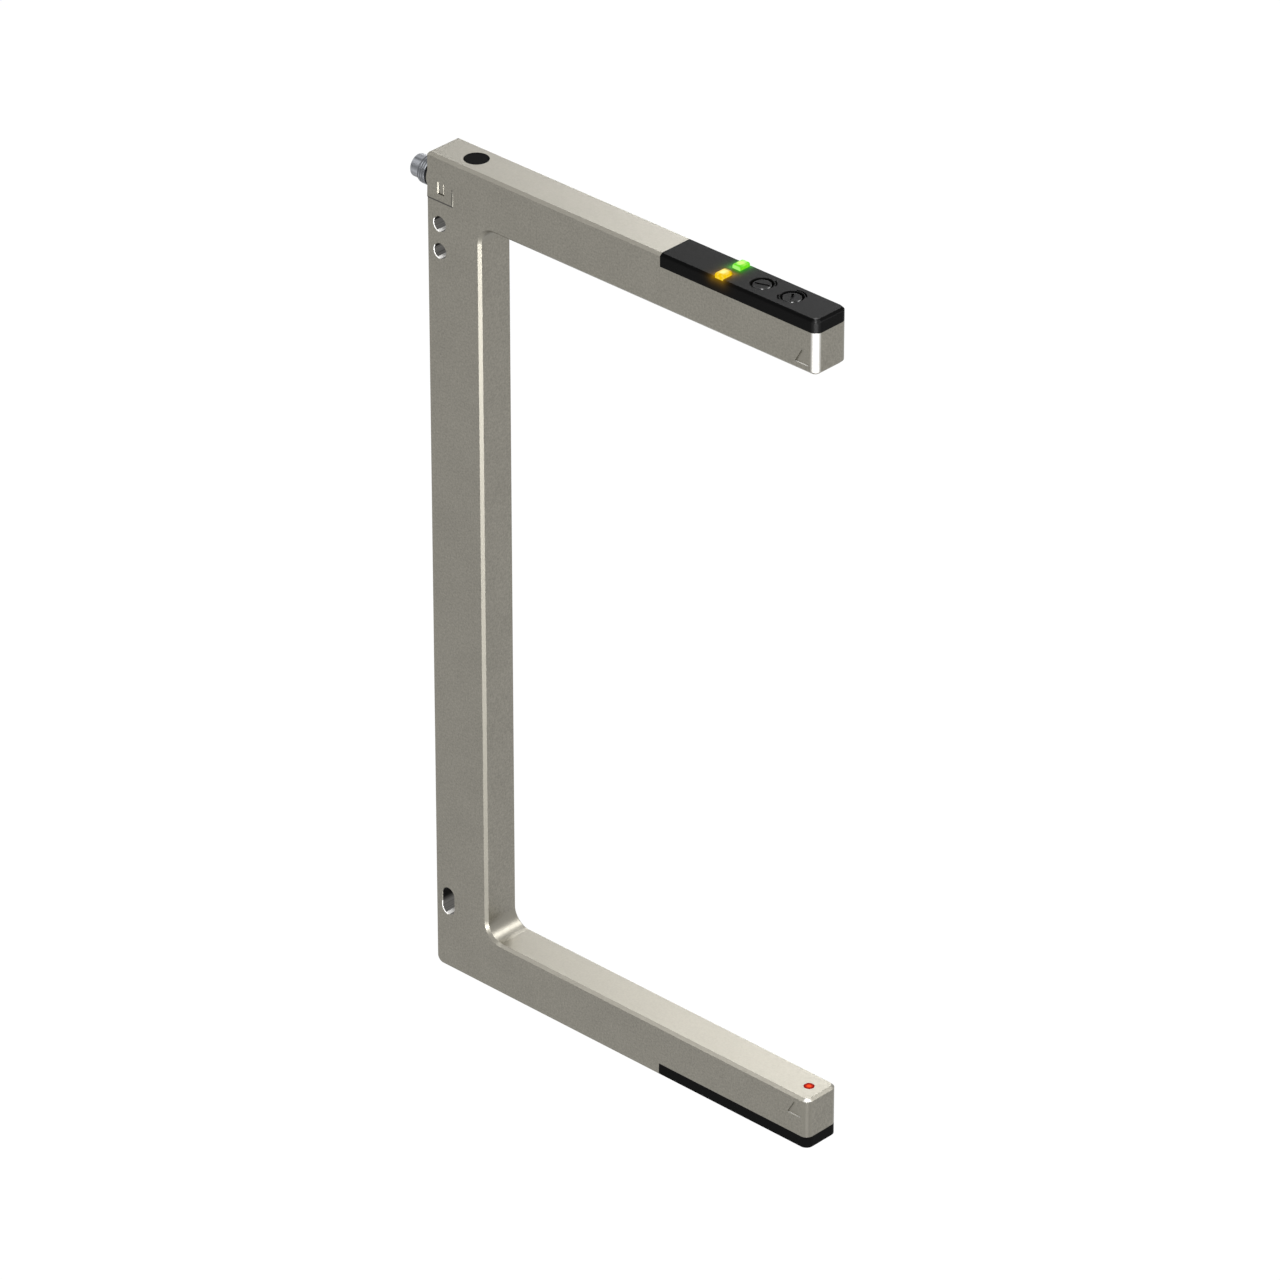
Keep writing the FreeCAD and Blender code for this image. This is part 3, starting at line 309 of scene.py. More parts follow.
    def lines(self, axis: Axis, size: float) -> Socket:
        """Give a pattern between 0 and 1 that changes along one axis only.

        Args:
            axis: the direction along which it changes.
            size: the width of a line in metres.

        Returns:
            The pattern's value.
        """
        node = self.tree.nodes.new("ShaderNodeTexNoise")
        node.noise_dimensions = "1D"
        self.feed(self.axes[axis], node.inputs["W"])
        self.feed(1.0 / size, node.inputs["Scale"])
        return node.outputs[0]

    def swing(self, value: Feed, amount: float) -> Socket:
        """Turn a value between 0 and 1 into one between -amount / 2 and +amount / 2."""
        return self.product(self.minus(value, 0.5), amount)

    def mix(
        self, share: Feed, first: Feed | tuple, second: Feed | tuple, way: str = "MIX"
    ) -> Socket:
        """Mix or add two colours.

        Args:
            share: how much of the second colour is taken, from 0 to 1.
            first: the first colour.
            second: the second colour.
            way: MIX, or ADD to add the second colour's light to the first.

        Returns:
            The mixed colour.
        """
        node = self.tree.nodes.new("ShaderNodeMix")
        node.data_type = "RGBA"
        node.blend_type = way
        self.feed(share, node.inputs[MIX_FACTOR])
        self.feed(first, node.inputs[MIX_A])
        self.feed(second, node.inputs[MIX_B])
        return node.outputs[MIX_RESULT]

    def bump(self, height: Feed, depth: float) -> Socket:
        """Raise the surface by a pattern.

        Args:
            height: the pattern between 0 and 1.
            depth: the height in metres of a value of 1.

        Returns:
            The tilted surface direction.
        """
        node = self.tree.nodes.new("ShaderNodeBump")
        self.feed(1.0, node.inputs["Strength"])
        self.feed(depth, node.inputs["Distance"])
        self.feed(height, node.inputs["Height"])
        return node.outputs["Normal"]

    def shader(self, **settings: Feed | tuple) -> bpy.types.Node:
        """Make the surface shader and join it to the output.

        Args:
            **settings: its sockets by name, with underscores for spaces.

        Returns:
            The shader node.
        """
        node = self.tree.nodes.new("ShaderNodeBsdfPrincipled")
        for name, value in settings.items():
            self.feed(value, node.inputs[name.replace("_", " ")])
        self.feed(node.outputs[0], self.output.inputs["Surface"])
        return node

    def glow(self, shader: bpy.types.Node, colour: Feed, power: float = 1.0) -> None:
        """Let a surface send out light of its own.

        Args:
            shader: the surface's shader.
            colour: the light's colour.
            power: what it is multiplied by.
        """
        self.feed(colour, shader.inputs["Emission Color"])
        self.feed(power, shader.inputs["Emission Strength"])


@dataclass(frozen=True)
class Finish:
    """A finish with fine grain and wide clouds in its colour, gloss and height.

    The tone is 0.5 plus the grain's and the clouds' swings. The colour goes from a darker to a
    lighter form of the tint with the tone. The roughness and the height swing with patterns of
    their own, whose sizes are given in grains. All other sizes are in millimetres.
    """

    name: str
    tint: Tint
    roughness: float
    metallic: float = 0.0
    specular: float = 0.5
    span: float = 0.2
    grain: float = 0.30
    grain_tone: float = 0.8
    cloud: float = 9.0
    cloud_tone: float = 0.3
    gloss_size: float = 2.5
    gloss_swing: float = 0.08
    depth_size: float = 0.8
    depth: float = 0.004

    def tone(self, graph: Graph) -> Socket:
        """Give the tone between 0 and 1 over the surface."""
        grain = graph.swing(graph.noise(mm(self.grain)), self.grain_tone)
        clouds = graph.swing(graph.noise(mm(self.cloud), FINE), self.cloud_tone)
        return graph.total(grain, clouds, 0.5)

    def colour(self, graph: Graph, tone: Feed) -> Socket:
        """Give the colour for a tone, from 1 - span to 1 + span of the tint."""
        darker, lighter = (self.tint.linear(1.0 + side * self.span) for side in (-1, 1))
        return graph.mix(tone, darker, lighter)

    def gloss(self, graph: Graph) -> Socket:
        """Give the roughness over the surface."""
        spots = graph.noise(mm(self.grain * self.gloss_size))
        return graph.total(graph.swing(spots, self.gloss_swing), self.roughness)

    def height(self, graph: Graph) -> Socket:
        """Give the grain's height between 0 and 1."""
        return graph.noise(mm(self.grain * self.depth_size), FINE)

    def material(self) -> bpy.types.Material:
        """Build the node material."""
        graph = Graph(self.name)
        tone = self.tone(graph)
        shader = graph.shader(
            Base_Color=self.colour(graph, tone),
            Roughness=self.gloss(graph),
            Metallic=self.metallic,
            Specular_IOR_Level=self.specular,
            Normal=graph.bump(self.height(graph), mm(self.depth)),
        )
        self.complete(graph, shader, tone)
        return graph.material

    def complete(self, graph: Graph, shader: bpy.types.Node, tone: Feed) -> None:
        """Add what a special finish has beyond grain and clouds. A plain one adds nothing."""


@dataclass(frozen=True)
class Bore:
    """A drilled hole through both sides, round or with a straight upright run.

    The hole's place, its radius and half of its run are in metres. A pair of ends, in
    millimetres, is where a share is 1 and where it is 0.
    """

    along: float
    height: float
    run: float
    radius: float
    wall_ends: Pair = (0.0, 0.01)
    mouth_ends: Pair = (0.15, 0.2)
    mouth_left: Pair = (-0.4, -0.1)
    mouth_top: Pair = (1.0, 1.5)
    strip_top: Pair = (0.2, 0.3)
    strip_side: Pair = (0.15, 0.3)
    roof_ends: Pair = (0.6, 0.2)

    def within(self, graph: Graph, ends: Pair) -> Socket:
        """Give a share by the distance past the hole's radius.

        Args:
            graph: the material's graph.
            ends: the distances at which the share is 1 and 0.

        Returns:
            The share.
        """
        distance = graph.length(
            graph.outside(Axis.X, self.along, 0.0), graph.outside(Axis.Z, self.height, self.run)
        )
        return graph.fade(distance, *(self.radius + mm(end) for end in ends))

    def past(self, graph: Graph, axis: Axis, base: float, ends: Pair) -> Socket:
        """Give a share by the place on an axis.

        Args:
            graph: the material's graph.
            axis: the axis.
            base: the place that the ends are counted from, in metres.
            ends: where the share is 1 and 0.

        Returns:
            The share.
        """
        return graph.fade(graph.axes[axis], *(base + mm(end) for end in ends))

    def wall(self, graph: Graph) -> Socket:
        """Give 1 on the hole's wall and 0 elsewhere."""
        return self.within(graph, self.wall_ends)

    def mouth(self, graph: Graph) -> Socket:
        """Give 1 on the lit left part of the bevelled mouth and 0 elsewhere."""
        left = self.past(graph, Axis.X, self.along, self.mouth_left)
        below = self.past(graph, Axis.Z, self.height - self.run, self.mouth_top)
        return graph.product(self.within(graph, self.mouth_ends), left, below)

    def shaded_wall(self, graph: Graph) -> Socket:
        """Give 1 where the wall gets painted shade, off the painted lit strip along its floor, else
        0.
        """
        floor = self.height - self.run - self.radius
        low = self.past(graph, Axis.Z, floor, self.strip_top)
        left = self.past(graph, Axis.X, self.along, self.strip_side)
        return graph.product(self.wall(graph), graph.minus(1.0, graph.product(low, left)))

    def roof(self, graph: Graph) -> Socket:
        """Give 1 on the upper half of the wall and 0 elsewhere."""
        full, none = map(mm, self.roof_ends)
        upper = graph.fade(graph.axes[Axis.Z], self.height + full, self.height - self.run + none)
        return graph.product(self.wall(graph), upper)


@dataclass(frozen=True)
class CastMetal(Finish):
    """Blasted and plated casting, a little brighter and smoother where its edges are rubbed.

    A point is near an edge where it is close both to the frame's outline and to a side face.
    The outline's distance is the least of those to the outer rectangle and to the throat.
    What is found from the frame is in metres, and the finish's own sizes are in millimetres.
    """

    outer_x: Pair = (0.0, 0.0)
    outer_z: Pair = (0.0, 0.0)
    throat_x: float = 0.0
    throat_z: Pair = (0.0, 0.0)
    side: float = 0.0
    bores: tuple[Bore, ...] = ()
    mark_bases: tuple[float, ...] = ()
    mark_place: float = 0.0
    mark_half: float = 0.0
    crease_z: Pair = (0.0, 0.0)
    crease_end: float = 0.0
    reach: float = 1.2
    wear_gloss: float = 0.04
    wear_tone: float = 0.1
    calm: float = 0.25
    patch: float = 2.0
    hair: float = 0.01
    corner_radius: float = 2.15
    core_ramp: Pair = (0.2, 0.55)
    bevel: float = 0.75
    bevel_top: float = 0.1
    # painted highlight on the tip corners and painted shade on the lower tip's corner
    corner_highlight_share: float = 0.55
    corner_shade_share: float = 0.6
    # colours for painted light and shade in the holes and on the marks, and the holes' painted glow
    painted_light: Tint = Tint(250, 249, 246)
    bore_roughness: float = 0.45
    bore_shade_tint: Tint = Tint(96, 94, 90)
    bore_deep_shade_tint: Tint = Tint(44, 43, 42)
    light: Tint = Tint(255, 253, 248)
    floor_light: float = 0.14
    wall_light: float = 0.09
    wall_streak: float = 0.35
    streak_swing: float = 2.2
    streak_middle: float = 0.95
    painted_lit_matte: float = 0.95
    shade_depth: float = 5.9
    blur: float = 0.05
    mark_share: float = 0.65
    mark_blur: float = 0.03
    mark_end: float = 0.1
    # painted shadow along the step below the pads
    step_shadow_tint: Tint = Tint(62, 60, 56)
    crease_blur: float = 0.06
    # painted shade that dims the highlights on the pad edges and the lower tip's corner
    painted_dim_tint: Tint = Tint(94, 92, 86)
    pad_bevel: float = 0.5
    pad_proud: float = 0.2
    pad_share: float = 0.8

    def flatness(self, graph: Graph) -> Socket:
        """Give 1 on the flat upright faces and the calm share elsewhere.

        The flat upright faces are those within a hair of the sides, the tip ends and the
        throat's wall.
        """
        hair, edge = mm(self.hair), mm(2 * self.hair)
        x, tip = graph.axes[Axis.X], self.outer_x[1]
        flat = graph.largest(
            graph.fade(graph.across(), self.side - hair, self.side - edge),
            graph.fade(x, tip - hair, tip - edge),
            graph.fade(graph.apart(x, self.throat_x), hair, edge),
        )
        return graph.total(graph.product(flat, 1.0 - self.calm), self.calm)

    def calmed(self, graph: Graph, pattern: Feed) -> Socket:
        """Keep a pattern's swing on the flat upright faces and weaken it elsewhere."""
        return graph.total(graph.product(graph.swing(pattern, 1.0), self.flatness(graph)), 0.5)

    def tone(self, graph: Graph) -> Socket:
        """Give the tone, with full grain on the flat upright faces and little elsewhere."""
        return self.calmed(graph, super().tone(graph))

    def height(self, graph: Graph) -> Socket:
        """Give the grain's height, calmed like the tone."""
        return self.calmed(graph, super().height(graph))

    def mark_highlight(self, graph: Graph) -> Socket:
        """Give the mark share, as a painted highlight, on each triangle mark's lower edge, and 0
        elsewhere.
        """
        blur = mm(self.mark_blur)
        bases = [graph.band(Axis.Z, base - blur, base + blur, blur) for base in self.mark_bases]
        off = graph.outside(Axis.X, self.mark_place, self.mark_half)
        below = graph.fade(graph.across(), self.side - blur / 4, self.side - blur / 8)
        return graph.product(
            graph.largest(*bases), self.mark_share, graph.fade(off, 0.0, mm(self.mark_end)), below
        )

    def drilled(self, graph: Graph) -> tuple[Socket, ...]:
        """Find the drilled holes and the part of their walls that gets painted shade.

        Returns:
            The share of the holes' walls and lit mouths, the shares of painted shade and of
            deeper painted shade, and a painted glow that stands in for the studio's light on
            the wall, strongest along its floor.
        """
        depth = mm(self.shade_depth)
        inner = graph.fade(graph.across(), depth - mm(self.blur), depth)
        streaks = graph.swing(graph.lines(Axis.Z, mm(self.wall_streak)), self.streak_swing)
        streaks = graph.total(streaks, self.streak_middle)
        bore = graph.largest(*(
            share for hole in self.bores for share in (hole.wall(graph), hole.mouth(graph))
        ))
        bore_shade = graph.product(graph.largest(*(hole.shaded_wall(graph) for hole in self.bores)), inner)
        bore_deep_shade = graph.largest(*(hole.roof(graph) for hole in self.bores))
        floor = graph.largest(graph.minus(graph.product(bore, inner), bore_shade), 0.0)
        middle = graph.product(bore_shade, graph.minus(1.0, bore_deep_shade), streaks)
        light = graph.total(
            graph.product(floor, self.floor_light), graph.product(middle, self.wall_light)
        )
        return bore, bore_shade, bore_deep_shade, light

    def shade_line(self, graph: Graph) -> Socket:
        """Give the share of painted shadow along the step below the pads, on the side faces."""
        blur = mm(self.crease_blur)
        line = graph.band(Axis.Z, *self.crease_z, blur)
        along = graph.fade(graph.axes[Axis.X], self.crease_end, self.crease_end + blur)
        return graph.product(line, along, graph.fade(graph.across(), self.side, self.side - blur))

    def corners(self, graph: Graph, colour: Feed) -> Socket:
        """Paint a highlight on the upper tip's corner and the lower tip's bevel, and shade below
        that bevel.

        Args:
            graph: the material's graph.
            colour: the casting's colour so far.

        Returns:
            The colour with the corners in it.
        """
        place = self.outer_x[1], self.side, mm(self.corner_radius)
        tip, core = graph.corner(*place), graph.corner(*place, self.core_ramp)
        low, high = self.throat_z
        z, bevel, blur = graph.axes[Axis.Z], mm(self.bevel), mm(self.blur)
        above = graph.fade(z, high + bevel + 3 * blur, high + bevel)
        slope = graph.band(Axis.Z, low - bevel, low - mm(self.bevel_top), blur)
        below = graph.fade(z, low - bevel, low - bevel + blur)
        # painted shade on the lower tip's corner, below its bevel
        colour = graph.mix(graph.product(below, core, self.corner_shade_share), colour, self.painted_dim_tint.linear())
        # painted highlight on the upper tip's corner and the lower tip's bevel
        bright = graph.product(graph.largest(above, slope), tip, self.corner_highlight_share)
        return graph.mix(bright, colour, self.painted_light.linear())

    def pad_edge(self, graph: Graph) -> Socket:
        """Give the pad share of painted shade on the pads' sloping front edges, which dims their
        highlight, and 0 elsewhere.
        """
        hair = mm(self.hair)
        face = self.side + mm(self.pad_proud)
        start = self.crease_end - mm(self.pad_bevel)
        return graph.product(
            graph.fade(graph.across(), self.side + hair, self.side),
            graph.fade(graph.across(), face - hair, face - hair / 2),
            graph.fade(graph.axes[Axis.X], start, start - hair),
            self.pad_share,
        )

    def wear(self, graph: Graph) -> Socket:
        """Give the share of rubbing, 1 at an edge and 0 past the reach."""
        x, z = graph.axes[Axis.X], graph.axes[Axis.Z]
        outer = graph.smallest(
            graph.minus(x, self.outer_x[0]), graph.minus(self.outer_x[1], x),
            graph.minus(z, self.outer_z[0]), graph.minus(self.outer_z[1], z),
        )
        low, high = self.throat_z
        before = graph.largest(graph.minus(self.throat_x, x), 0.0)
        throat = graph.length(before, graph.outside(Axis.Z, (low + high) / 2, (high - low) / 2))
        outline = graph.smallest(outer, throat)
        face = graph.minus(self.side, graph.across())
        reach = mm(self.reach)
        return graph.product(
            graph.fade(outline, 0.0, reach),
            graph.fade(face, 0.0, reach),
            graph.noise(mm(self.patch), FINEST),
        )

    def complete(self, graph: Graph, shader: bpy.types.Node, tone: Feed) -> None:
        """Make the rubbed edges brighter and smoother, and paint light and shade into holes, marks,
        tips and pads.
        """
        wear = self.wear(graph)
        colour = self.colour(graph, graph.total(tone, graph.product(wear, self.wear_tone)))
        # painted shade that dims the highlight on the pads' sloping front edges
        colour = graph.mix(self.pad_edge(graph), colour, self.painted_dim_tint.linear())
        # painted shadow along the step below the pads
        colour = graph.mix(self.shade_line(graph), colour, self.step_shadow_tint.linear())
        colour = self.corners(graph, colour)
        # painted light along the holes' floors and lit mouths, painted shade higher up, darkest at
        # the roof
        bore, bore_shade, bore_deep_shade, light = self.drilled(graph)
        shaded_wall = graph.mix(bore_deep_shade, self.bore_shade_tint.linear(), self.bore_deep_shade_tint.linear())
        wall = graph.mix(bore_shade, self.painted_light.linear(), shaded_wall)
        # painted highlight on the lower edges of the triangle marks
        mark_highlight = self.mark_highlight(graph)
        painted_light = graph.largest(bore, mark_highlight)
        graph.feed(graph.mix(painted_light, colour, wall), shader.inputs["Base Color"])
        smoother = graph.product(wear, -self.wear_gloss)
        drop = graph.product(bore, self.bore_roughness - self.roughness)
        graph.feed(graph.total(self.gloss(graph), smoother, drop), shader.inputs["Roughness"])
        # the painted lit parts are made matte, so that they show their painted light
        painted_lit_part = graph.largest(graph.minus(bore, bore_shade), mark_highlight)
        lit_metal_drop = graph.product(painted_lit_part, -self.painted_lit_matte)
        graph.feed(graph.total(lit_metal_drop, 1.0), shader.inputs["Metallic"])
        # painted glow in the holes, in place of the studio's light on their walls
        graph.glow(shader, graph.mix(light, BLACK, self.light.linear()))


@dataclass(frozen=True)
class TurnedMetal(Finish):
    """Turned metal with fine lines round its axis and painted highlight and shade bands along it.

    Each band stands in for a reflection and has the angle of its middle from the side, in
    degrees, half of its width and its gain in tone. The bottoms of the thread get painted
    shade. The inner part, up to a place along the arms, has the casting's skin. The plug
    gives the axis's height and its own sizes, in millimetres.
    """

    # painted highlight and shade bands: middle angle in degrees, half width, gain in tone
    reflection_bands: tuple[Point, ...] = (
        (74.0, 12.0, 0.3), (62.0, 10.0, -0.3), (47.0, 12.0, 0.75), (22.0, 15.0, -0.3),
        (-2.0, 14.0, 0.5), (-44.0, 26.0, -0.7),
    )
    line: float = 0.22
    line_tone: float = 0.9
    root_shade: float = -1.5
    below_root: float = 0.1
    sleeve: Tint = Tint(134, 131, 122)
    axis_height: float = 0.0
    crest: float = 0.0
    root: float = 0.0
    sleeve_end: float = 0.0

    def complete(self, graph: Graph, shader: bpy.types.Node, tone: Feed) -> None:
        """Add the lines, the painted highlight and shade bands and the painted shade in the thread
        bottoms, then colour the sleeve.
        """
        above = graph.minus(graph.axes[Axis.Z], mm(self.axis_height))
        angle = graph.math("ARCTAN2", above, graph.across())
        terms = [tone, graph.swing(graph.lines(Axis.X, mm(self.line)), self.line_tone)]
        # painted highlight and shade bands round the plug, standing in for reflections
        for middle, half, gain in self.reflection_bands:
            share = graph.fade(graph.apart(angle, math.radians(middle)), 0.0, math.radians(half))
            terms.append(graph.product(share, gain))
        # painted shade in the bottoms of the thread
        radius = graph.length(graph.across(), above)
        low = graph.fade(radius, mm(self.root), mm(self.crest))
        on_thread = graph.math("GREATER_THAN", radius, mm(self.root - self.below_root))
        terms.append(graph.product(low, on_thread, self.root_shade))
        colour = self.colour(graph, graph.total(*terms))
        share = graph.math("GREATER_THAN", graph.axes[Axis.X], mm(self.sleeve_end))
        graph.feed(graph.mix(share, colour, self.sleeve.linear()), shader.inputs["Base Color"])


@dataclass(frozen=True)
class Halo:
    """Coloured light that a lit pipe throws on the plastic round it.

    At a distance d from the pipe's box, the light is the strength times e to the power of
    minus d divided by the reach.
    """

    tint: Tint
    middle: Point
    half: Point
    strength: float
    reach: float

    def light(self, graph: Graph) -> Socket:
        """Give the halo's colour over the surface."""
        sides = [
            graph.outside(axis, self.middle[axis.value], self.half[axis.value]) for axis in Axis
        ]
        fall = graph.math("EXPONENT", graph.product(graph.length(*sides), -1.0 / mm(self.reach)))
        return graph.mix(graph.product(fall, self.strength), BLACK, self.tint.linear())


@dataclass(frozen=True)
class LitPlastic(Finish):
    """Moulded plastic that takes the halo of each light pipe beside it.

    The top, the tip and the side are the cover's own faces, in metres.
    """

    halos: tuple[Halo, ...] = ()
    top: float = 0.0
    tip: float = 0.0
    side: float = 0.0
    top_gain: float = 0.07
    corner_radius: float = 2.15
    corner_gain: float = 0.11
    hair: float = 0.03
    matt_edge: float = 0.6
    matt_share: float = 0.85

    def complete(self, graph: Graph, shader: bpy.types.Node, tone: Feed) -> None:
        """Roughen the top, polish the corners and add the halos as light of its own."""
        hair = mm(self.hair)
        on_top = graph.fade(graph.axes[Axis.Z], self.top - hair, self.top - 2 * hair)
        rougher = graph.product(on_top, self.top_gain)
        graph.feed(graph.total(self.gloss(graph), rougher), shader.inputs["Roughness"])
        corner = graph.corner(self.tip, self.side, mm(self.corner_radius))
        edge = graph.band(Axis.Z, self.top - mm(self.matt_edge), self.top - 2 * hair, hair)
        polish = graph.total(
            graph.product(corner, self.corner_gain),
            graph.product(edge, -self.matt_share * self.specular),
            self.specular,
        )
        graph.feed(polish, shader.inputs["Specular IOR Level"])
        light = BLACK
        for halo in self.halos:
            light = graph.mix(1.0, light, halo.light(graph), "ADD")
        graph.glow(shader, light)


@dataclass(frozen=True)
class RimmedPlastic(Finish):
    """Plastic of a round control, polished where the bevel of its rim is."""

    middle: Point = (0.0, 0.0, 0.0)
    rim: float = 2.46
    hair: float = 0.03
    rim_gloss: float = 0.14
    rim_specular: float = 0.42

    def complete(self, graph: Graph, shader: bpy.types.Node, tone: Feed) -> None:
        """Polish the rim."""
        share = graph.fade(graph.off_axis(self.middle), mm(self.rim), mm(self.rim - self.hair))
        smoother = graph.product(share, self.rim_gloss - self.roughness)
        graph.feed(graph.total(self.gloss(graph), smoother), shader.inputs["Roughness"])
        polish = graph.product(share, self.rim_specular)
        graph.feed(graph.total(polish, self.specular), shader.inputs["Specular IOR Level"])


@dataclass(frozen=True)
class LitPipe(Finish):
    """Clear coloured plastic lit from below, with bright streaks and a deeper rim.

    The light goes from the rim's colour to the core's with the distance from the pipe's axis
    and with a streaky pattern, and takes the end's colour next to the arm's middle plane.
    """

    core: Tint = Tint(255, 255, 255)
    rim: Tint = Tint(255, 255, 255)
    end: Tint = Tint(255, 255, 255)
    end_reach: Pair = (1.2, 2.0)
    middle: Point = (0.0, 0.0, 0.0)
    core_reach: Pair = (0.2, 1.9)
    streak: float = 1.0
    streak_size: float = 0.9

    def complete(self, graph: Graph, shader: bpy.types.Node, tone: Feed) -> None:
        """Light the pipe's core and streaks."""
        near, far = map(mm, self.core_reach)
        core = graph.fade(graph.off_axis(self.middle), near, far)
        streaks = graph.swing(graph.noise(mm(self.streak_size), COARSE), self.streak)
        share = graph.smallest(graph.largest(graph.total(core, streaks), 0.0), 1.0)
        colour = graph.mix(share, self.rim.linear(), self.core.linear())
        at_end = graph.fade(graph.across(), *map(mm, self.end_reach))
        graph.glow(shader, graph.mix(at_end, colour, self.end.linear()))


@dataclass(frozen=True)
class LitWindow(Finish):
    """Red window whose middle shows the light source under it.

    The light fades from the core's colour at the axis to none at the window's rim.
    """

    core: Tint = Tint(255, 255, 255)
    middle: Point = (0.0, 0.0, 0.0)
    inner: float = 0.5
    outer: float = 1.6

    def complete(self, graph: Graph, shader: bpy.types.Node, tone: Feed) -> None:
        """Light the middle of the window."""
        share = graph.fade(graph.off_axis(self.middle), mm(self.inner), mm(self.outer))
        graph.glow(shader, graph.mix(share, BLACK, self.core.linear()))


@dataclass(frozen=True)
class Laminate(Finish):
    """Board laminate under a coloured mask, with thin copper paths showing as paler lines.

    The lines are where a steep wave along the board, bent by a slow pattern, is near its top.
    """

    paths: Tint = Tint(90, 130, 90)
    pitch: float = 1.3
    bend: float = 6.0
    line_ends: Pair = (0.9, 0.7)

    def complete(self, graph: Graph, shader: bpy.types.Node, tone: Feed) -> None:
        """Draw the copper paths."""
        bend = graph.swing(graph.noise(mm(self.bend), PLAIN), mm(self.bend))
        along = graph.total(graph.axes[Axis.Y], bend)
        wave = graph.math("SINE", graph.product(along, math.tau / mm(self.pitch)))
        lines = graph.fade(wave, *self.line_ends)
        colour = graph.mix(lines, self.colour(graph, tone), self.paths.linear())
        graph.feed(colour, shader.inputs["Base Color"])


@dataclass(frozen=True)
class Sleeves(Finish):
    """Wire sleeves side by side, each in its own colour by its place across the arm."""

    left: Tint = Tint(90, 55, 35)
    right: Tint = Tint(35, 60, 130)
    edge: float = 0.5

    def complete(self, graph: Graph, shader: bpy.types.Node, tone: Feed) -> None:
        """Colour the outer sleeves."""
        place, edge = graph.axes[Axis.Y], mm(self.edge)
        on_left = graph.math("LESS_THAN", place, -edge)
        on_right = graph.math("GREATER_THAN", place, edge)
        colour = graph.mix(on_left, self.colour(graph, tone), self.left.linear())
        colour = graph.mix(on_right, colour, self.right.linear())
        graph.feed(colour, shader.inputs["Base Color"])


def dress(names: tuple[str, ...], finish: Finish) -> None:
    """Give solids of the frame a finish.

    Args:
        names: the solids' names.
        finish: what they get.
    """
    material = finish.material()
    for name in names:
        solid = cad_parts[name]
        if solid.material_slots:
            for slot in solid.material_slots:
                slot.material = material
        else:
            solid.data.materials.append(material)
        LOG.info("dressed %s in %s", name, finish.name)


def middle_of(name: str) -> Point:
    """Give the middle of a solid's box, in metres.

    Args:
        name: the solid's name.

    Returns:
        The middle's place.
    """
    low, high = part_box(name)
    return tuple((low + high) / 2)


def softened(outline: np.ndarray, radius: float) -> np.ndarray:
    """Round the corners of a closed outline.

    Each corner P is replaced by the curve (1 - t)^2 A + 2 t (1 - t) P + t^2 B, where A and B lie
    a radius from P towards its neighbours, or SIDE_SHARE of the way there where that is less,
    and t goes from 0 to 1.

    Args:
        outline: the corners in order, one row each.
        radius: how far from a corner its curve starts.

    Returns:
        The rounded outline's points in order, with as many for each corner.
    """
    before = np.roll(outline, 1, axis=0) - outline
    after = np.roll(outline, -1, axis=0) - outline
    before_length = np.linalg.norm(before, axis=1, keepdims=True)
    after_length = np.linalg.norm(after, axis=1, keepdims=True)
    start = outline + before * np.minimum(radius / before_length, SIDE_SHARE)
    end = outline + after * np.minimum(radius / after_length, SIDE_SHARE)
    t = np.linspace(0.0, 1.0, CURVE_POINTS)[None, :, None]
    curve = (1 - t) ** 2 * start[:, None] + 2 * t * (1 - t) * outline[:, None]
    curve = curve + t ** 2 * end[:, None]
    return curve.reshape(-1, outline.shape[1])


def ring_faces(rows: int, columns: int) -> np.ndarray:
    """Give the four-sided faces of a grid that closes on itself both ways.

    Args:
        rows: how many rows of points the grid has.
        columns: how many points a row has.

    Returns:
        Four point numbers for each face.
    """
    row, column = np.meshgrid(np.arange(rows), np.arange(columns), indexing="ij")
    next_row, next_column = (row + 1) % rows, (column + 1) % columns
    corners = [
        row * columns + column,
        next_row * columns + column,
        next_row * columns + next_column,
        row * columns + next_column,
    ]
    return np.stack(corners, axis=-1).reshape(-1, 4)


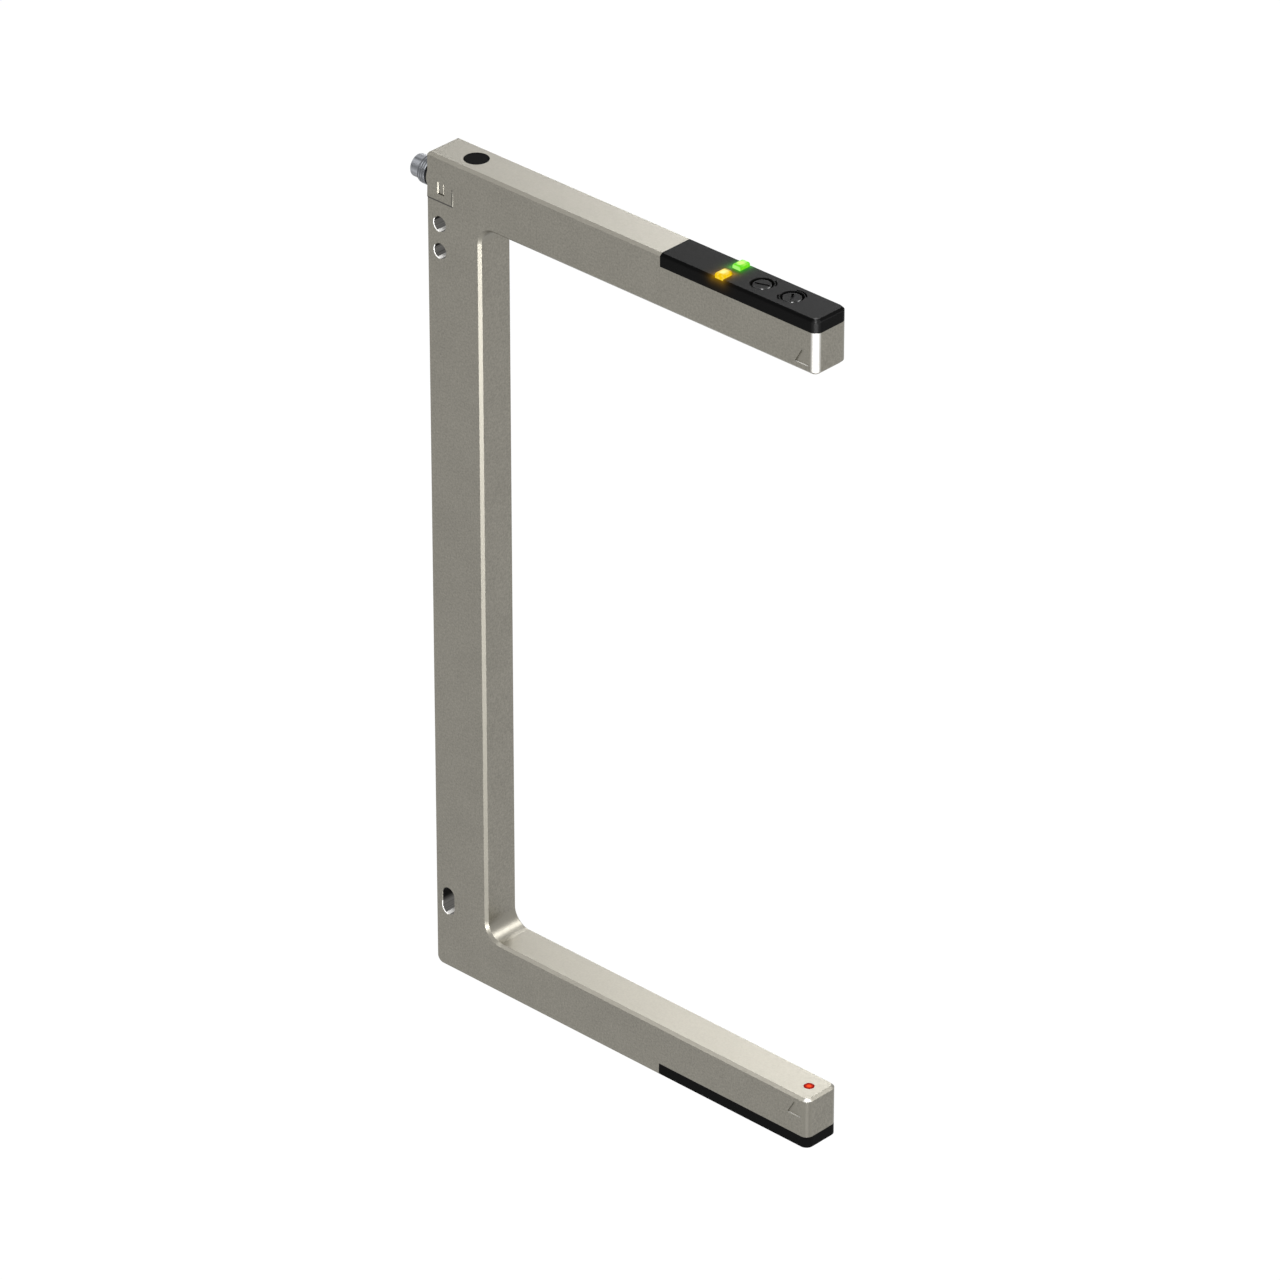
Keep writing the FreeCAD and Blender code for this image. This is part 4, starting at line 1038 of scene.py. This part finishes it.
@dataclass
class ThreadedPlug:
    """Round plug turned from metal, with a cut thread and two latch tongues.

    Lengths are in millimetres, measured outwards from the frame's back. The back's place and
    the height of the plug's axis come from the frame.
    """

    inner_end: float = -8.1
    barrel: float = 4.4
    shoulder: float = 4.2
    shoulder_end: float = 2.4
    relief: float = 3.3
    thread_start: float = 3.3
    crest: float = 4.0
    thread_end: float = 6.2
    nose: float = 3.25
    rim: float = 9.2
    socket: float = 2.8
    pitch: float = 0.75
    depth: float = 0.08
    chamfer: float = 0.4
    edge: float = 0.12
    skin_end: float = 2.45
    tongue_span: Pair = (-5.75, -4.0)
    tongue_reach: Pair = (3.6, 5.8)
    tongue_half: float = 1.58
    tongue_ramp: float = 0.2
    round_points: int = 144
    thread_points: int = 96
    sharp_angle: float = 38.0
    back: float = field(init=False)
    height: float = field(init=False)

    def __post_init__(self) -> None:
        """Find the frame's back and the axis's height from the plug's solid."""
        self.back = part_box("plug_shell")[0].x / MILLIMETRE + self.rim
        self.height = middle_of("plug_shell")[Axis.Z.value] / MILLIMETRE

    def profile(self) -> np.ndarray:
        """Give the turned outline as rows of distance outwards and radius."""
        corners = [
            (self.rim, self.socket),
            (self.inner_end, self.socket),
            (self.inner_end, self.barrel),
            (0.0, self.barrel),
            (0.0, self.shoulder),
            (self.shoulder_end, self.shoulder),
            (self.shoulder_end, self.relief),
            (self.thread_start, self.relief),
            (self.thread_start, self.crest),
            (self.thread_end, self.crest),
            (self.thread_end, self.nose),
            (self.rim, self.nose),
        ]
        thread_end = CURVE_POINTS * corners.index((self.thread_end, self.crest))
        out = np.linspace(self.thread_start, self.thread_end, self.thread_points + 2)
        out = out[(out > self.thread_start + self.edge) & (out < self.thread_end - self.edge)]
        crest = np.stack([out, np.full_like(out, self.crest)], axis=1)
        return np.insert(softened(np.array(corners), self.edge), thread_end, crest, axis=0)

    def turned(self) -> np.ndarray:
        """Give the turned surface's points as a grid of outline and angle.

        The thread lowers the crest radius by depth times (1 + cos(2 pi (u / pitch - angle /
        (2 pi)))) / 2, faded in over half a pitch at both ends, and the outer end is also cut by
        a cone at 45 degrees.

        Returns:
            Rows of the outline by columns of the angle by three coordinates, in millimetres.
        """
        outline = self.profile()
        out, radius = outline[:, :1], outline[:, 1:]
        angle = np.linspace(0.0, math.tau, self.round_points, endpoint=False)[None, :]
        wave = (1.0 + np.cos(math.tau * (out / self.pitch) - angle)) / 2.0
        near_start = np.clip((out - self.thread_start) / (self.pitch / 2), 0.0, 1.0)
        near_end = np.clip((self.thread_end - out) / (self.pitch / 2), 0.0, 1.0)
        fade = near_start * near_end
        threaded = (radius > (self.relief + self.crest) / 2) & (out > self.shoulder_end)
        cut = radius - np.where(threaded, self.depth * fade * wave, 0.0)
        cone = self.crest - self.chamfer + np.maximum(self.thread_end - out, 0.0)
        turned = np.where(threaded, np.minimum(cut, np.maximum(cone, self.nose)), cut)
        x = np.broadcast_to(self.back - out, turned.shape)
        return np.stack([x, turned * np.cos(angle), self.height + turned * np.sin(angle)], axis=-1)

    def tongue(self, side: int) -> np.ndarray:
        """Give one latch tongue as two rounded outlines, below and above.

        Args:
            side: -1 or 1, the side of the frame that it reaches towards.

        Returns:
            Two rows of outline points by three coordinates, in millimetres.
        """
        low, high = self.tongue_span
        root, face = self.tongue_reach
        corners = np.array([
            (root, low),
            (root, high),
            (face, high),
            (face, low + self.tongue_ramp),
            (face - self.tongue_ramp, low),
        ])
        outline = softened(corners, self.edge / 2)
        y, x = side * outline[:, 0], self.back - outline[:, 1]
        levels = self.height + self.tongue_half * np.array([-1.0, 1.0])
        return np.stack([np.stack([x, y, np.full_like(x, z)], axis=1) for z in levels])

    def build(self) -> None:
        """Make the plug's mesh in place, in metres, and put it in for the plain shell."""
        grid = self.turned()
        points = [grid.reshape(-1, 3)]
        faces = ring_faces(*grid.shape[:2]).tolist()
        first = points[0].shape[0]
        for side in (-1, 1):
            loops = self.tongue(side)
            count = loops.shape[1]
            lower = first + np.arange(count)
            upper = lower + count
            wall = np.stack([lower, np.roll(lower, -1), np.roll(upper, -1), upper], axis=1)
            flat = [lower[::-1], upper]
            if side < 0:
                wall, flat = wall[:, ::-1], [lower, upper[::-1]]
            faces += [row.tolist() for row in wall] + [row.tolist() for row in flat]
            points.append(loops.reshape(-1, 3))
            first += 2 * count
        mesh = bpy.data.meshes.new("threaded_plug")
        mesh.from_pydata((np.concatenate(points) * MILLIMETRE).tolist(), [], faces)
        mesh.shade_smooth()
        mesh.set_sharp_from_angle(angle=math.radians(self.sharp_angle))
        piece = bpy.data.objects.new("threaded_plug", mesh)
        bpy.context.scene.collection.objects.link(piece)
        finish = replace(
            PLUG_METAL,
            axis_height=self.height,
            crest=self.crest,
            root=self.crest - self.depth,
            sleeve_end=self.back - self.skin_end,
        )
        mesh.materials.append(finish.material())
        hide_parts("plug_shell")
        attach(piece, SENSOR_BODY)
        LOG.info("made threaded_plug with %d faces", len(faces))


CAST_METAL = CastMetal(
    "cast_metal", Tint(134, 131, 122), roughness=0.4, metallic=1.0, span=0.25, grain=0.55,
    grain_tone=1.5, depth=0.0008,
)
BLACK_COVER = Finish("black_cover", Tint(13, 13, 13), roughness=0.3, specular=0.012, depth=0.001)
DISC_COVER = Finish("disc_cover", Tint(11, 11, 11), roughness=0.34, specular=0.006, depth=0.001)
LIT_COVER = LitPlastic("lit_cover", Tint(13, 13, 13), roughness=0.3, specular=0.019, depth=0.001)
CONTROL_PLASTIC = RimmedPlastic("control_plastic", Tint(13, 13, 13), roughness=0.34, specular=0.017)
BASE_PLASTIC = Finish("base_plastic", Tint(60, 60, 64), roughness=0.45, specular=0.3)
RUBBER = Finish("seal_rubber", Tint(24, 24, 25), roughness=0.7, specular=0.25, depth=0.01)
INSERT_PLASTIC = Finish("insert_plastic", Tint(28, 28, 30), roughness=0.45, specular=0.3)
HEADER_PLASTIC = Finish("header_plastic", Tint(214, 208, 190), roughness=0.5, specular=0.3)
BLACK_CHIP = Finish("chip_black", Tint(30, 30, 32), roughness=0.55, specular=0.25, depth=0.006)
PALE_CHIP = Finish("chip_pale", Tint(196, 178, 146), roughness=0.4, specular=0.4)
GOLD_PIN = Finish("pin_gold", Tint(232, 192, 110), roughness=0.22, metallic=1.0, span=0.08)
PLUG_METAL = TurnedMetal(
    "plug_metal", Tint(132, 134, 138), roughness=0.36, metallic=1.0, span=0.5, grain=0.12,
    grain_tone=0.2, depth=0.0004,
)
BOARD = Laminate("board_laminate", Tint(26, 70, 42), roughness=0.4, specular=0.4)
SLEEVE = Sleeves("wire_sleeve", Tint(30, 30, 30), roughness=0.5, specular=0.3)
RED_WINDOW = LitWindow(
    "red_window", Tint(132, 3, 2), roughness=0.34, specular=0.01, core=Tint(255, 84, 20),
    inner=0.05, outer=1.2, depth=0.0005,
)
DARK_WINDOW = Finish("dark_window", Tint(40, 6, 10), roughness=0.1, depth=0.0005)
AMBER_PIPE = LitPipe(
    "amber_pipe", Tint(30, 24, 1), roughness=0.3, specular=0.03, depth=0.001,
    core=Tint(255, 250, 150), rim=Tint(244, 200, 4), end=Tint(120, 90, 4),
    end_reach=(1.3, 2.5),
)
GREEN_PIPE = LitPipe(
    "green_pipe", Tint(10, 36, 2), roughness=0.16, specular=0.06, depth=0.001,
    core=Tint(200, 254, 96), rim=Tint(104, 222, 22), end=Tint(170, 246, 120),
    end_reach=(1.25, 1.6),
)


@dataclass
class CastFrame:
    """The one-piece casting: spine and two arms. Sizes are in millimetres."""

    arm: float = 15.9
    foot: float = 15.3
    spine: float = 19.0
    hole_radius: float = 2.21
    hole_spacing: float = 8.0
    slot_rise: float = 21.0
    slot_run: float = 4.0
    crease_drop: Pair = (13.45, 12.97)
    crease_end: float = 9.25
    mark_rise: float = 2.1
    mark_side: float = 4.9
    beam: float = 4.9

    def bores(self, foot: float) -> tuple[Bore, ...]:
        """Find the drilled holes.

        Args:
            foot: the height of the frame's lowest face, in metres.

        Returns:
            The two fixing holes, which lie round the frame's origin, and the slotted hole.
        """
        radius, half = mm(self.hole_radius), mm(self.hole_spacing / 2)
        return (
            Bore(0.0, half, 0.0, radius),
            Bore(0.0, -half, 0.0, radius),
            Bore(0.0, foot + mm(self.slot_rise), mm(self.slot_run / 2), radius),
        )

    def dress(self) -> None:
        """Give the casting its skin, with its rubbed edges where its own outline is."""
        low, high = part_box("housing")
        sill, lintel = low.z + mm(self.foot), high.z - mm(self.arm)
        mark_base = sill - mm(self.mark_rise + self.mark_side * math.sqrt(0.75))
        finish = replace(
            CAST_METAL,
            outer_x=(low.x, high.x),
            outer_z=(low.z, high.z),
            throat_x=low.x + mm(self.spine),
            throat_z=(sill, lintel),
            side=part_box("upper_cover")[1].y,
            bores=self.bores(low.z),
            mark_bases=(lintel + mm(self.mark_rise), mark_base),
            mark_place=high.x - mm(self.beam),
            mark_half=mm(self.mark_side / 2),
            crease_z=tuple(high.z - mm(drop) for drop in self.crease_drop),
            crease_end=low.x + mm(self.crease_end),
        )
        dress(("housing",), finish)


@dataclass
class Covers:
    """The two black covers, the disc over the wire channel and the seals under the covers."""

    reach: float = 0.8
    amber: Tint = Tint(255, 190, 20)
    green: Tint = Tint(80, 235, 60)
    strength: float = 0.32
    strength_green: float = 0.5

    def halo(self, pipe: str, tint: Tint, strength: float) -> Halo:
        """Give the halo of one light pipe.

        Args:
            pipe: the pipe's name.
            tint: the light's colour.
            strength: how strong it is beside the pipe.

        Returns:
            The halo round the part of the pipe that stands proud of the cover.
        """
        low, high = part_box(pipe)
        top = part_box("upper_cover")[1].z
        low.z = top
        middle, half = (low + high) / 2, (high - low) / 2
        return Halo(tint, tuple(middle), tuple(half), strength, self.reach)

    def dress(self) -> None:
        """Give the covers, disc and seals their finishes."""
        halos = (
            self.halo("output_light_pipe", self.amber, self.strength),
            self.halo("power_light_pipe", self.green, self.strength_green),
        )
        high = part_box("upper_cover")[1]
        cover = replace(LIT_COVER, halos=halos, top=high.z, tip=high.x, side=high.y)
        dress(("upper_cover",), cover)
        dress(("lower_cover",), BLACK_COVER)
        dress(("channel_disc",), DISC_COVER)
        dress(("upper_cover_seal", "lower_cover_seal", "plug_seal"), RUBBER)


@dataclass
class Controls:
    """The two round controls with their rings and the parts that they turn."""

    def dress(self) -> None:
        """Give the controls their finishes."""
        for name in ("mode_rotor", "trimmer_rotor"):
            dress((name,), replace(CONTROL_PLASTIC, middle=middle_of(name)))
        dress(("mode_ring", "trimmer_ring"), RUBBER)
        dress(("mode_switch", "trimmer_base"), BASE_PLASTIC)


@dataclass
class Indicators:
    """The two light pipes and the light sources under them."""

    def dress(self) -> None:
        """Light the pipes round their own axes."""
        for pipe, finish in (("output_light_pipe", AMBER_PIPE), ("power_light_pipe", GREEN_PIPE)):
            dress((pipe,), replace(finish, middle=middle_of(pipe)))
        dress(("output_indicator", "power_indicator"), PALE_CHIP)


@dataclass
class BeamOptics:
    """Windows, tubes and diodes of the light beam between the arms."""

    def dress(self) -> None:
        """Give the beam's parts their finishes."""
        dress(("emitter_lens",), replace(RED_WINDOW, middle=middle_of("emitter_lens")))
        dress(("receiver_lens",), DARK_WINDOW)
        dress(("emitter_tube", "receiver_tube"), INSERT_PLASTIC)
        dress(("photodiode",), BLACK_CHIP)
        dress(("emitter_diode",), PALE_CHIP)


@dataclass
class Electronics:
    """Boards, small parts, headers and wires inside the arms and spine."""

    def dress(self) -> None:
        """Give the inner parts their finishes."""
        dress(("receiver_board", "emitter_board"), BOARD)
        dress(("receiver_capacitors", "emitter_capacitors"), PALE_CHIP)
        dress(("evaluation_chip", "driver_chip"), BLACK_CHIP)
        dress(("receiver_header", "emitter_header"), HEADER_PLASTIC)
        dress(("plug_leads", "link_cable"), SLEEVE)


@dataclass
class Plug:
    """The round plug with its pin carrier and pins."""

    def dress(self) -> None:
        """Build the threaded shell and finish the carrier and pins."""
        ThreadedPlug().build()
        dress(("plug_insert",), INSERT_PLASTIC)
        dress(("contact_pins",), GOLD_PIN)


@dataclass(frozen=True)
class Lamp:
    """A soft lamp aimed at the object.

    Its place is the aim plus distance times (cos e cos a, cos e sin a, sin e), where a is the
    azimuth from +X and e the elevation. Its brightness is 1 where it looks as bright as white.
    """

    name: str
    azimuth: float
    elevation: float
    distance: float
    brightness: float
    width: float
    height: float

    def build(self, aim: Vector) -> None:
        """Put the lamp in the scene.

        Args:
            aim: the point that it faces, in metres.
        """
        turn, rise = math.radians(self.azimuth), math.radians(self.elevation)
        level = math.cos(rise)
        way = Vector((level * math.cos(turn), level * math.sin(turn), math.sin(rise)))
        light = bpy.data.lights.new(self.name, "AREA")
        light.shape = "RECTANGLE"
        light.size, light.size_y = self.width, self.height
        light.energy = self.brightness * math.pi * self.width * self.height
        lamp = bpy.data.objects.new(self.name, light)
        lamp.location = aim + way * self.distance
        lamp.rotation_euler = way.to_track_quat("Z", "Y").to_euler()
        lamp.visible_camera = False
        bpy.context.scene.collection.objects.link(lamp)


@dataclass
class Studio:
    """Pale floor, white surroundings, five soft lamps and the camera."""

    aim: Point = (0.06, 0.0, -0.1)
    lamps: tuple[Lamp, ...] = (
        Lamp("lamp_behind", 123.2, 26.2, 1.193, 10.5, 0.312, 0.312),
        Lamp("lamp_low_front", 317.7, -14.0, 1.048, 40.8, 0.939, 0.080),
        Lamp("lamp_side", 52.4, 49.3, 1.413, 9.1, 0.672, 0.672),
        Lamp("lamp_high_front", 231.1, 35.5, 0.653, 6.1, 0.153, 0.153),
        Lamp("lamp_corner", 318.0, 60.0, 0.900, 24.0, 0.200, 0.200),
    )
    surroundings: float = 0.5
    floor_drop: float = 0.25
    floor_half: float = 6.0
    floor_tint: Tint = Tint(235, 235, 235)
    shadow_share: float = 0.05
    floor_glow: float = 1.03
    camera_place: Point = (1.445811, -1.462021, 1.074828)
    camera_turn: float = 43.324
    camera_rise: float = 30.28
    camera_lens: float = 246.70
    camera_sensor: float = 36.0

    def seen_by(self, tree: bpy.types.NodeTree, kinds: tuple[str, ...]) -> Socket:
        """Give 1 where a ray is of one of the named kinds, and 0 elsewhere.

        Args:
            tree: the node tree that asks.
            kinds: the kinds of ray.

        Returns:
            The largest of the kinds' own values.
        """
        path = tree.nodes.new("ShaderNodeLightPath")
        result = path.outputs[kinds[0]]
        for kind in kinds[1:]:
            node = tree.nodes.new("ShaderNodeMath")
            node.operation = "MAXIMUM"
            tree.links.new(result, node.inputs[0])
            tree.links.new(path.outputs[kind], node.inputs[1])
            result = node.outputs[0]
        return result

    def world(self) -> None:
        """Surround the object with white that metal and clear parts also show."""
        world = bpy.data.worlds.new("surroundings")
        bpy.context.scene.world = world
        world.use_nodes = True
        tree = world.node_tree
        background = tree.nodes["Background"]
        background.inputs["Color"].default_value = WHITE
        seen = self.seen_by(tree, ("Is Camera Ray", "Is Glossy Ray", "Is Transmission Ray"))
        strength = tree.nodes.new("ShaderNodeMapRange")
        tree.links.new(seen, strength.inputs["Value"])
        strength.inputs["To Min"].default_value = self.surroundings
        strength.inputs["To Max"].default_value = 1.0
        tree.links.new(strength.outputs["Result"], background.inputs["Strength"])

    def floor(self) -> None:
        """Lay a pale floor below the object that keeps its shadow.

        It is a level square whose corners lie at plus and minus half of its width on both axes.
        """
        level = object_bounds()[0][2] - self.floor_drop
        side = np.array([-1.0, 1.0]) * self.floor_half
        x, y = np.meshgrid(side, side, indexing="ij")
        points = np.stack([x, y, np.full_like(x, level)], axis=-1).reshape(-1, 3)
        mesh = bpy.data.meshes.new("floor")
        mesh.from_pydata(points.tolist(), [], [(0, 2, 3, 1)])
        floor = bpy.data.objects.new("floor", mesh)
        bpy.context.scene.collection.objects.link(floor)
        graph = Graph("pale_floor")
        tree = graph.tree
        paint = tree.nodes.new("ShaderNodeBsdfDiffuse")
        paint.inputs["Color"].default_value = self.floor_tint.linear()
        glow = tree.nodes.new("ShaderNodeEmission")
        glow.inputs["Strength"].default_value = self.floor_glow
        blend = tree.nodes.new("ShaderNodeMixShader")
        camera = self.seen_by(tree, ("Is Camera Ray",))
        mirrored = self.seen_by(tree, ("Is Glossy Ray", "Is Transmission Ray"))
        shown = graph.product(camera, 1.0 - self.shadow_share)
        graph.feed(graph.largest(shown, mirrored), blend.inputs[0])
        tree.links.new(paint.outputs[0], blend.inputs[1])
        tree.links.new(glow.outputs[0], blend.inputs[2])
        tree.links.new(blend.outputs[0], graph.output.inputs["Surface"])
        mesh.materials.append(graph.material)
        floor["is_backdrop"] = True

    def camera(self) -> None:
        """Aim the camera along the photograph's line of sight.

        Its right is (cos a, sin a, 0), its back (sin a cos e, -cos a cos e, sin e) and its up
        is the back crossed with the right.
        """
        turn, rise = math.radians(self.camera_turn), math.radians(self.camera_rise)
        right = Vector((math.cos(turn), math.sin(turn), 0.0))
        level = math.cos(rise)
        back = Vector((math.sin(turn) * level, -math.cos(turn) * level, math.sin(rise)))
        up = back.cross(right)
        settings = bpy.data.cameras.new("camera")
        settings.lens = self.camera_lens
        settings.sensor_width = self.camera_sensor
        camera = bpy.data.objects.new("camera", settings)
        axes = Matrix((right, up, back)).transposed().to_4x4()
        camera.matrix_world = Matrix.Translation(self.camera_place) @ axes
        bpy.context.scene.collection.objects.link(camera)
        bpy.context.scene.camera = camera

    def build(self) -> None:
        """Set up the surroundings, floor, lamps and camera."""
        self.world()
        self.floor()
        for lamp in self.lamps:
            lamp.build(Vector(self.aim))
        self.camera()
        bpy.context.scene.view_settings.view_transform = "Standard"
        LOG.info("set up the studio with %d lamps", len(self.lamps))


def main() -> None:
    """Build the sub-assemblies in order, then the studio."""
    logging.basicConfig(level=logging.INFO, format="%(message)s")
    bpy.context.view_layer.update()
    for assembly in (
        CastFrame(), Covers(), Controls(), Indicators(), BeamOptics(), Electronics(), Plug(),
    ):
        assembly.dress()
    Studio().build()


if __name__ == "__main__":
    main()
